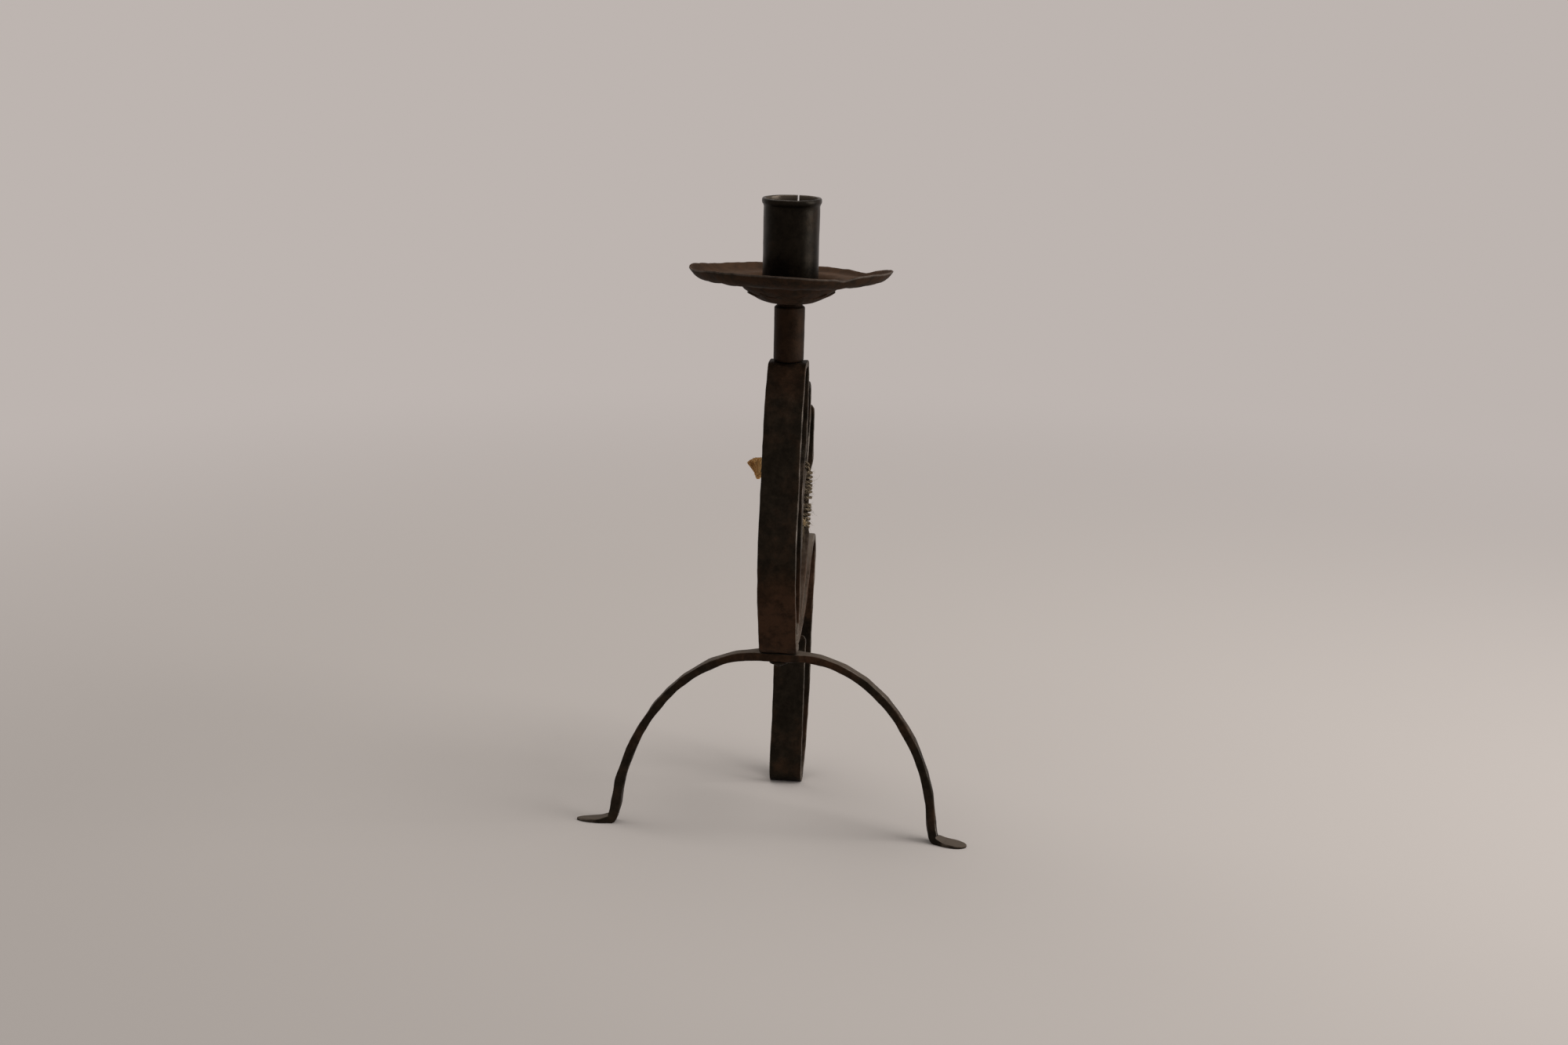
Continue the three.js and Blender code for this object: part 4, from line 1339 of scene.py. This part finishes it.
def sizes_of(context):
    """The scene's sizes."""
    return context.scene.candlestick_sizes


def bar_finish(context):
    """Iron of the bars."""
    return finish_named("forged_iron", iron_finish, context.scene.candlestick_colours, FORGED)


def small_iron_finish(context):
    """Iron of the post and the screw, browner than the bars."""
    return finish_named("turned_iron", iron_finish, context.scene.candlestick_colours, TURNED)


def cup_finish(context):
    """Smoother dark sheet of the cup."""
    return finish_named("rolled_iron", iron_finish, context.scene.candlestick_colours, ROLLED)


class CANDLESTICK_OT_forge_leaves(bpy.types.Operator):
    """Forge the loop, the two free leaves and the tail bar"""

    bl_idname = "candlestick.forge_leaves"
    bl_label = "Forge Leaves"

    def execute(self, context):
        sizes = sizes_of(context)
        hammer = (sizes.hammer_size, sizes.hammer_depth, sizes.edge_rounding)
        across = Vector((1, 0, 0))
        short_leaf = short_leaf_line()
        long_leaf = long_leaf_line()
        tail = tail_line()
        wound_from = long_leaf.at_height(twine_foot())

        def full_width(distance):
            return BAR_WIDTH

        def bound_width(distance):
            past = distance - wound_from
            bound = ease(-4 * MM, 2 * MM, past) - ease(0.9 * WINDING, 1.2 * WINDING, past)
            return BAR_WIDTH - WAIST * bound

        def narrowing_width(distance):
            return mix(BAR_WIDTH, LEG_TIP_WIDTH, ease(0.3, 0.95, distance / tail.length))

        leaves = [
            ("stem_loop", loop_line(), lambda distance: (BAR_WIDTH, BAR_THICKNESS)),
            ("short_leaf", short_leaf, leaf_size(short_leaf, full_width)),
            ("long_leaf", long_leaf, leaf_size(long_leaf, bound_width)),
            ("tail_leg", tail, leaf_size(tail, narrowing_width)),
        ]
        for seed, (node, line, size_at) in enumerate(leaves, 1):
            skin = forged_bar(line, size_at, across, hammer, seed, (3, 10))
            make_piece("forged_" + node, skin, bar_finish(context), node)
        return {"FINISHED"}


class CANDLESTICK_OT_forge_arch(bpy.types.Operator):
    """Forge the front arch with its two toes"""

    bl_idname = "candlestick.forge_arch"
    bl_label = "Forge Arch"

    def execute(self, context):
        line = arch_line()
        sizes = sizes_of(context)
        hammer = (1.6 * sizes.hammer_size, 2 * sizes.hammer_depth, 0.9 * sizes.edge_rounding)
        skin = forged_bar(line, arch_size(line), Vector((0, 1, 0)), hammer, 6, (5, 4), 0.8 * MM, 0.4 * MM)
        make_piece("forged_front_arch", skin, bar_finish(context), "front_arch")
        return {"FINISHED"}


class CANDLESTICK_OT_set_rivets(bpy.types.Operator):
    """Set the joint's rivet and washer and the short leaf's rivet"""

    bl_idname = "candlestick.set_rivets"
    bl_label = "Set Rivets"

    def execute(self, context):
        iron = bar_finish(context)
        upright = (JOINT_LOW + JOINT_HIGH) / 2
        span = JOINT_HIGH - JOINT_LOW
        skin = rivet(span.z, span.x / 2)
        skin.move(Matrix.Translation(upright))
        make_piece("hammered_joint_rivet", skin, iron, "joint_rivet")

        level = (LEAF_RIVET_LOW + LEAF_RIVET_HIGH) / 2
        span = LEAF_RIVET_HIGH - LEAF_RIVET_LOW
        skin = rivet(span.y, span.x / 2)
        skin.move(Matrix.Translation(level) @ Matrix.Rotation(math.pi / 2, 4, "X"))
        make_piece("hammered_leaf_rivet", skin, iron, "short_leaf_rivet")

        edge = (JOINT_WASHER_HIGH - JOINT_WASHER_LOW).x / 2
        low, high = JOINT_WASHER_LOW.z, JOINT_WASHER_HIGH.z
        hole = 1.8 * MM
        round_off = 0.25 * MM
        profile = [
            (hole, low, 0.1),
            (edge - round_off, low, 0.2),
            (edge, low + round_off, 0.3),
            (edge, high - round_off, 0.3),
            (edge - round_off, high, 0.2),
            (hole, high, 0.1),
            (hole, low, 0.1),
        ]
        skin = lathe(profile, 0.8 * MM, 48, True)
        middle = (JOINT_WASHER_LOW + JOINT_WASHER_HIGH) / 2
        skin.move(Matrix.Translation((0, middle.y - CANDLE.y, 0)))
        make_piece("cut_joint_washer", skin, iron, "joint_washer")
        return {"FINISHED"}


class CANDLESTICK_OT_turn_post(bpy.types.Operator):
    """Turn the post with its tenon headed over inside the loop"""

    bl_idname = "candlestick.turn_post"
    bl_label = "Turn Post"

    def execute(self, context):
        radius = 7.1 * MM
        tenon = 3 * MM
        top = POST_HIGH.z
        foot = LOOP_TOP + SEAT_GAP
        head = POST_LOW.z
        under = LOOP_TOP - BAR_THICKNESS - SEAT_GAP
        profile = [
            (0, head, 0.4),
            (0.5 * tenon, head + 0.06 * tenon, 0.5),
            (0.95 * tenon, head + 0.2 * tenon, 0.5),
            (1.3 * tenon, head + 0.4 * tenon, 0.7),
            (1.43 * tenon, under, 0.6),
            (tenon, under, 0.0),
            (tenon, foot, 0.0),
            (0.94 * radius, foot, 0.2),
            (radius, foot + 0.09 * radius, 0.75),
            (1.005 * radius, foot + 0.3 * radius, 0.1),
            (1.02 * radius, top - 0.33 * radius, 0.1),
            (1.02 * radius, top - 0.27 * radius, 0.55),
            (1.0 * radius, top - 0.22 * radius, 0.6),
            (0.86 * radius, top - 0.1 * radius, 0.3),
            (0.84 * radius, top, 0.1),
            (BORE_RADIUS, top, 0.0),
            (BORE_RADIUS, SCREW_FOOT - 2 * MM, 0.0),
            (0, SCREW_FOOT - 3 * MM, 0.0),
        ]
        skin = lathe(profile, 1.1 * MM, 72, False)
        make_piece("turned_candle_post", skin, small_iron_finish(context), "candle_post")
        return {"FINISHED"}


class CANDLESTICK_OT_raise_pan(bpy.types.Operator):
    """Raise the drip pan and cut the jagged washer under it"""

    bl_idname = "candlestick.raise_pan"
    bl_label = "Raise Pan"

    def execute(self, context):
        sizes = sizes_of(context)
        brown = finish_named("dry_sheet_iron", pan_finish, context.scene.candlestick_colours)
        marks = ("wear_and_painted_light", "under")
        skin = turned(pan_outline(sizes), 240, True, marks=marks)
        make_piece("hammered_drip_pan", skin, brown, "drip_pan", 60)
        skin = turned(washer_outline(sizes), 22 * WASHER_TIPS, True, marks=marks)
        make_piece("cut_leaf_washer", skin, brown, "leaf_washer", 60)
        return {"FINISHED"}


class CANDLESTICK_OT_roll_cup(bpy.types.Operator):
    """Roll the candle cup, with the plate and the screw in its foot"""

    bl_idname = "candlestick.roll_cup"
    bl_label = "Roll Cup"

    def execute(self, context):
        seam = math.pi - CUP_SLIT_TURN
        half_slit = math.asin(CUP_SLIT / 2 / CUP_RADIUS)
        edges = (seam + half_slit - 2 * math.pi, seam - half_slit)
        skin = turned(cup_outline, 110, True, *edges, marks=("wear_and_painted_light", "dry"))
        make_piece("rolled_candle_cup", skin, cup_finish(context), "candle_cup", 50)

        radius = CUP_RADIUS - SHEET - SEAT_GAP
        round_off = 0.3 * MM
        sink = 4.6 * MM
        plate = [
            (BORE_RADIUS, PLATE_FOOT, 0.0),
            (radius, PLATE_FOOT, 0.2),
            (radius, PLATE_TOP - round_off, 0.6),
            (radius - round_off, PLATE_TOP, 0.7),
            (sink, PLATE_TOP, 0.5),
            (BORE_RADIUS, PLATE_TOP - (sink - BORE_RADIUS), 0.0),
            (BORE_RADIUS, PLATE_FOOT, 0.0),
        ]
        skin = lathe(plate, 1.2 * MM, 72, True)
        make_piece("cut_cup_plate", skin, cup_finish(context), "cup_plate")
        self.add_screw(context)
        return {"FINISHED"}

    def add_screw(self, context):
        """The countersunk screw. Its slot is a strip of the head's face that lies lower."""
        shank = 2 * MM
        head = 4 * MM
        slot = 0.45 * MM
        depth = 1 * MM
        profile = [
            (0, SCREW_FOOT, 0.0),
            (0.75 * shank, SCREW_FOOT, 0.0),
            (shank, SCREW_FOOT + 0.3 * shank, 0.0),
            (shank, SCREW_TOP - (head - shank), 0.0),
            (head, SCREW_TOP, 0.8),
            (0, SCREW_TOP, 0.4),
        ]
        skin = lathe(profile, 0.15 * MM, 144, False)
        for i, point in enumerate(skin.points):
            if abs(point.x - CANDLE.x) < slot and point.z > SCREW_TOP - 0.05 * MM:
                skin.points[i] = point - Vector((0, 0, depth))
        make_piece("slotted_cup_screw", skin, small_iron_finish(context), "cup_screw", 25)


class CANDLESTICK_OT_wind_twine(bpy.types.Operator):
    """Wind the twine round the two free leaves, with its loose fibres"""

    bl_idname = "candlestick.wind_twine"
    bl_label = "Wind Twine"

    def execute(self, context):
        sizes = sizes_of(context)
        chance = random.Random(11)
        route = twine_route(sizes)
        skin = Skin("around", "along", "tone")
        plies(skin, route, sizes.twine, sizes.twine_lay, (0.0, 0.2, 0.5))
        twine_fuzz(skin, route, sizes, chance)
        start = route[0]
        for i in range(60):
            way = Vector((chance.uniform(-0.15, 0.3), chance.uniform(-0.6, -0.15), chance.uniform(0.2, 1)))
            fibre(skin, start, way, chance.uniform(3, 5.5) * MM, 0.13 * MM, 0.02, 1.5, chance)
        for i in range(7):
            way = Vector((chance.uniform(-0.5, 0.5), chance.uniform(-1.1, -0.8), -1))
            fibre(skin, start, way, chance.uniform(10, 16) * MM, 0.06 * MM, 0.0, 1.2, chance, 0.2)
        colours = context.scene.candlestick_colours
        tones = (colours.twine_dark, colours.twine_pale, colours.fresh_jute)
        jute = finish_named("soiled_jute", jute_finish, *tones)
        make_piece("jute_winding", skin, jute, "twine_winding", 80)
        return {"FINISHED"}


class CANDLESTICK_OT_tie_knot(bpy.types.Operator):
    """Tie the knot and fray the end above it"""

    bl_idname = "candlestick.tie_knot"
    bl_label = "Tie Knot"

    def execute(self, context):
        sizes = sizes_of(context)
        chance = random.Random(5)
        middle = knot_place()
        skin = Skin("around", "along", "tone")
        knot = knot_route(middle, 0.74 * KNOT_RADIUS)
        plies(skin, knot, sizes.twine, 0.8 * sizes.twine_lay, (0.0, 0.1, 0.3))
        for i in range(sizes.brush):
            fan = chance.uniform(-1, 1)
            deep = chance.uniform(-1, 1)
            lean = Matrix.Rotation(-0.23 + 0.37 * fan, 3, "Y")
            start = middle + Vector((0.6 * fan - 0.15, 0.5 * deep, 0.4)) * KNOT_RADIUS
            way = lean @ Vector((0, 0.2 * deep, 1))
            length = chance.uniform(3.1, 3.7) * KNOT_RADIUS * (1 - 0.13 * max(-fan, 0))
            thickness = chance.uniform(0.11, 0.18) * MM
            fibre(skin, start, way, length, thickness, 0.0, chance.random(), chance, 0.1, 0.7)
        colours = context.scene.candlestick_colours
        tones = (colours.brush_tan, colours.brush_pale, colours.fresh_jute)
        jute = finish_named("tan_jute", jute_finish, *tones)
        make_piece("jute_knot", skin, jute, "twine_knot", 80)
        return {"FINISHED"}


def turn_towards(lamp, place, target):
    """Puts a lamp in its place and turns it to what it lights."""
    lamp.location = place
    lamp.rotation_euler = (Vector(target) - lamp.location).to_track_quat("-Z", "Y").to_euler()


class CANDLESTICK_OT_set_stage(bpy.types.Operator):
    """Set the floor, the lights and the photograph's camera"""

    bl_idname = "candlestick.set_stage"
    bl_label = "Set Stage"

    def execute(self, context):
        self.lay_floor(context)
        self.hang_lights(context)
        self.stand_camera(context)
        context.scene.view_settings.view_transform = "Standard"
        return {"FINISHED"}

    def lay_floor(self, context):
        """A wide pale floor under the object."""
        half = 8
        corners = [Vector((x * half, y * half, 0)) for x, y in ((-1, -1), (1, -1), (1, 1), (-1, 1))]
        mesh = bpy.data.meshes.new("floor")
        mesh.from_pydata(corners, [], [range(4)])
        mesh.materials.append(floor_finish("pale_floor", context.scene.candlestick_stage))
        floor = bpy.data.objects.new("floor", mesh)
        context.scene.collection.objects.link(floor)

    def hang_lights(self, context):
        """A soft window on the right, a wide lamp overhead and an even sky in front of a pale backdrop."""
        stage = context.scene.candlestick_stage
        window = self.hang(context, "window", stage.window_power, size=(0.7, 1.1))
        turn_towards(window, place=(1.15, -0.08, 0.6), target=(0, 0, 0.16))
        top_light = self.hang(context, "top_light", stage.top_power, size=(1.8, 0.7))
        turn_towards(top_light, place=(-0.1, 0.3, 1.3), target=(0, 0.55, 0.2))
        sky = Finish(bpy.data.worlds.new("sky"), "Background")
        light = shade((1.0, 0.985, 0.965), stage.sky_strength)
        sky.set(Color=sky.blend(sky.seen(), light, stage.backdrop_colour), Strength=1.0)
        context.scene.world = sky.owner

    def hang(self, context, name, power, size):
        """One soft lamp of a width and a height."""
        light = bpy.data.lights.new(name, "AREA")
        light.shape = "RECTANGLE"
        light.size, light.size_y = size
        light.energy = power
        lamp = bpy.data.objects.new(name, light)
        context.scene.collection.objects.link(lamp)
        return lamp

    def stand_camera(self, context):
        """The camera where the photograph was taken from."""
        camera = bpy.data.cameras.new("camera")
        camera.lens = CAMERA_LENS
        camera.clip_start = 0.01
        viewer = bpy.data.objects.new("camera", camera)
        stand = Vector((math.sin(CAMERA_AZIMUTH), -math.cos(CAMERA_AZIMUTH), 0)) * CAMERA_REACH
        stand += CANDLE + Vector((0, CAMERA_AIM_DEPTH, CAMERA_HEIGHT))
        heading = Matrix.Rotation(CAMERA_AZIMUTH - CAMERA_YAW, 4, "Z")
        tilt = Matrix.Rotation(math.pi / 2 - CAMERA_PITCH, 4, "X")
        roll = Matrix.Rotation(CAMERA_ROLL, 4, "Z")
        viewer.matrix_world = Matrix.Translation(stand) @ heading @ tilt @ roll
        context.scene.collection.objects.link(viewer)
        context.scene.camera = viewer


PIECES = (
    CANDLESTICK_OT_set_stage,
    CANDLESTICK_OT_forge_leaves,
    CANDLESTICK_OT_forge_arch,
    CANDLESTICK_OT_set_rivets,
    CANDLESTICK_OT_turn_post,
    CANDLESTICK_OT_raise_pan,
    CANDLESTICK_OT_roll_cup,
    CANDLESTICK_OT_wind_twine,
    CANDLESTICK_OT_tie_knot,
)


class CANDLESTICK_PT_panel(bpy.types.Panel):
    """Sizes, colours and pieces of the candlestick"""

    bl_label = "Candlestick"
    bl_idname = "CANDLESTICK_PT_panel"
    bl_space_type = "VIEW_3D"
    bl_region_type = "UI"
    bl_category = "Candlestick"

    def draw(self, context):
        for name in ("candlestick_sizes", "candlestick_colours", "candlestick_stage"):
            group = getattr(context.scene, name)
            column = self.layout.column(align=True)
            for prop in group.bl_rna.properties:
                if prop.identifier not in ("rna_type", "name"):
                    column.prop(group, prop.identifier)
        for piece in PIECES:
            self.layout.operator(piece.bl_idname)


CLASSES = (CandlestickSizes, CandlestickColours, CandlestickStage, *PIECES, CANDLESTICK_PT_panel)


def register():
    """Registers the classes and the scene's settings."""
    for cls in CLASSES:
        bpy.utils.register_class(cls)
    bpy.types.Scene.candlestick_sizes = PointerProperty(type=CandlestickSizes)
    bpy.types.Scene.candlestick_colours = PointerProperty(type=CandlestickColours)
    bpy.types.Scene.candlestick_stage = PointerProperty(type=CandlestickStage)


def unregister():
    """Takes the classes and the scene's settings away again."""
    del bpy.types.Scene.candlestick_stage
    del bpy.types.Scene.candlestick_colours
    del bpy.types.Scene.candlestick_sizes
    for cls in reversed(CLASSES):
        bpy.utils.unregister_class(cls)


def main():
    register()
    bpy.ops.candlestick.set_stage()
    bpy.ops.candlestick.forge_leaves()
    bpy.ops.candlestick.forge_arch()
    bpy.ops.candlestick.set_rivets()
    bpy.ops.candlestick.turn_post()
    bpy.ops.candlestick.raise_pan()
    bpy.ops.candlestick.roll_cup()
    bpy.ops.candlestick.wind_twine()
    bpy.ops.candlestick.tie_knot()


if __name__ == "__main__":
    main()
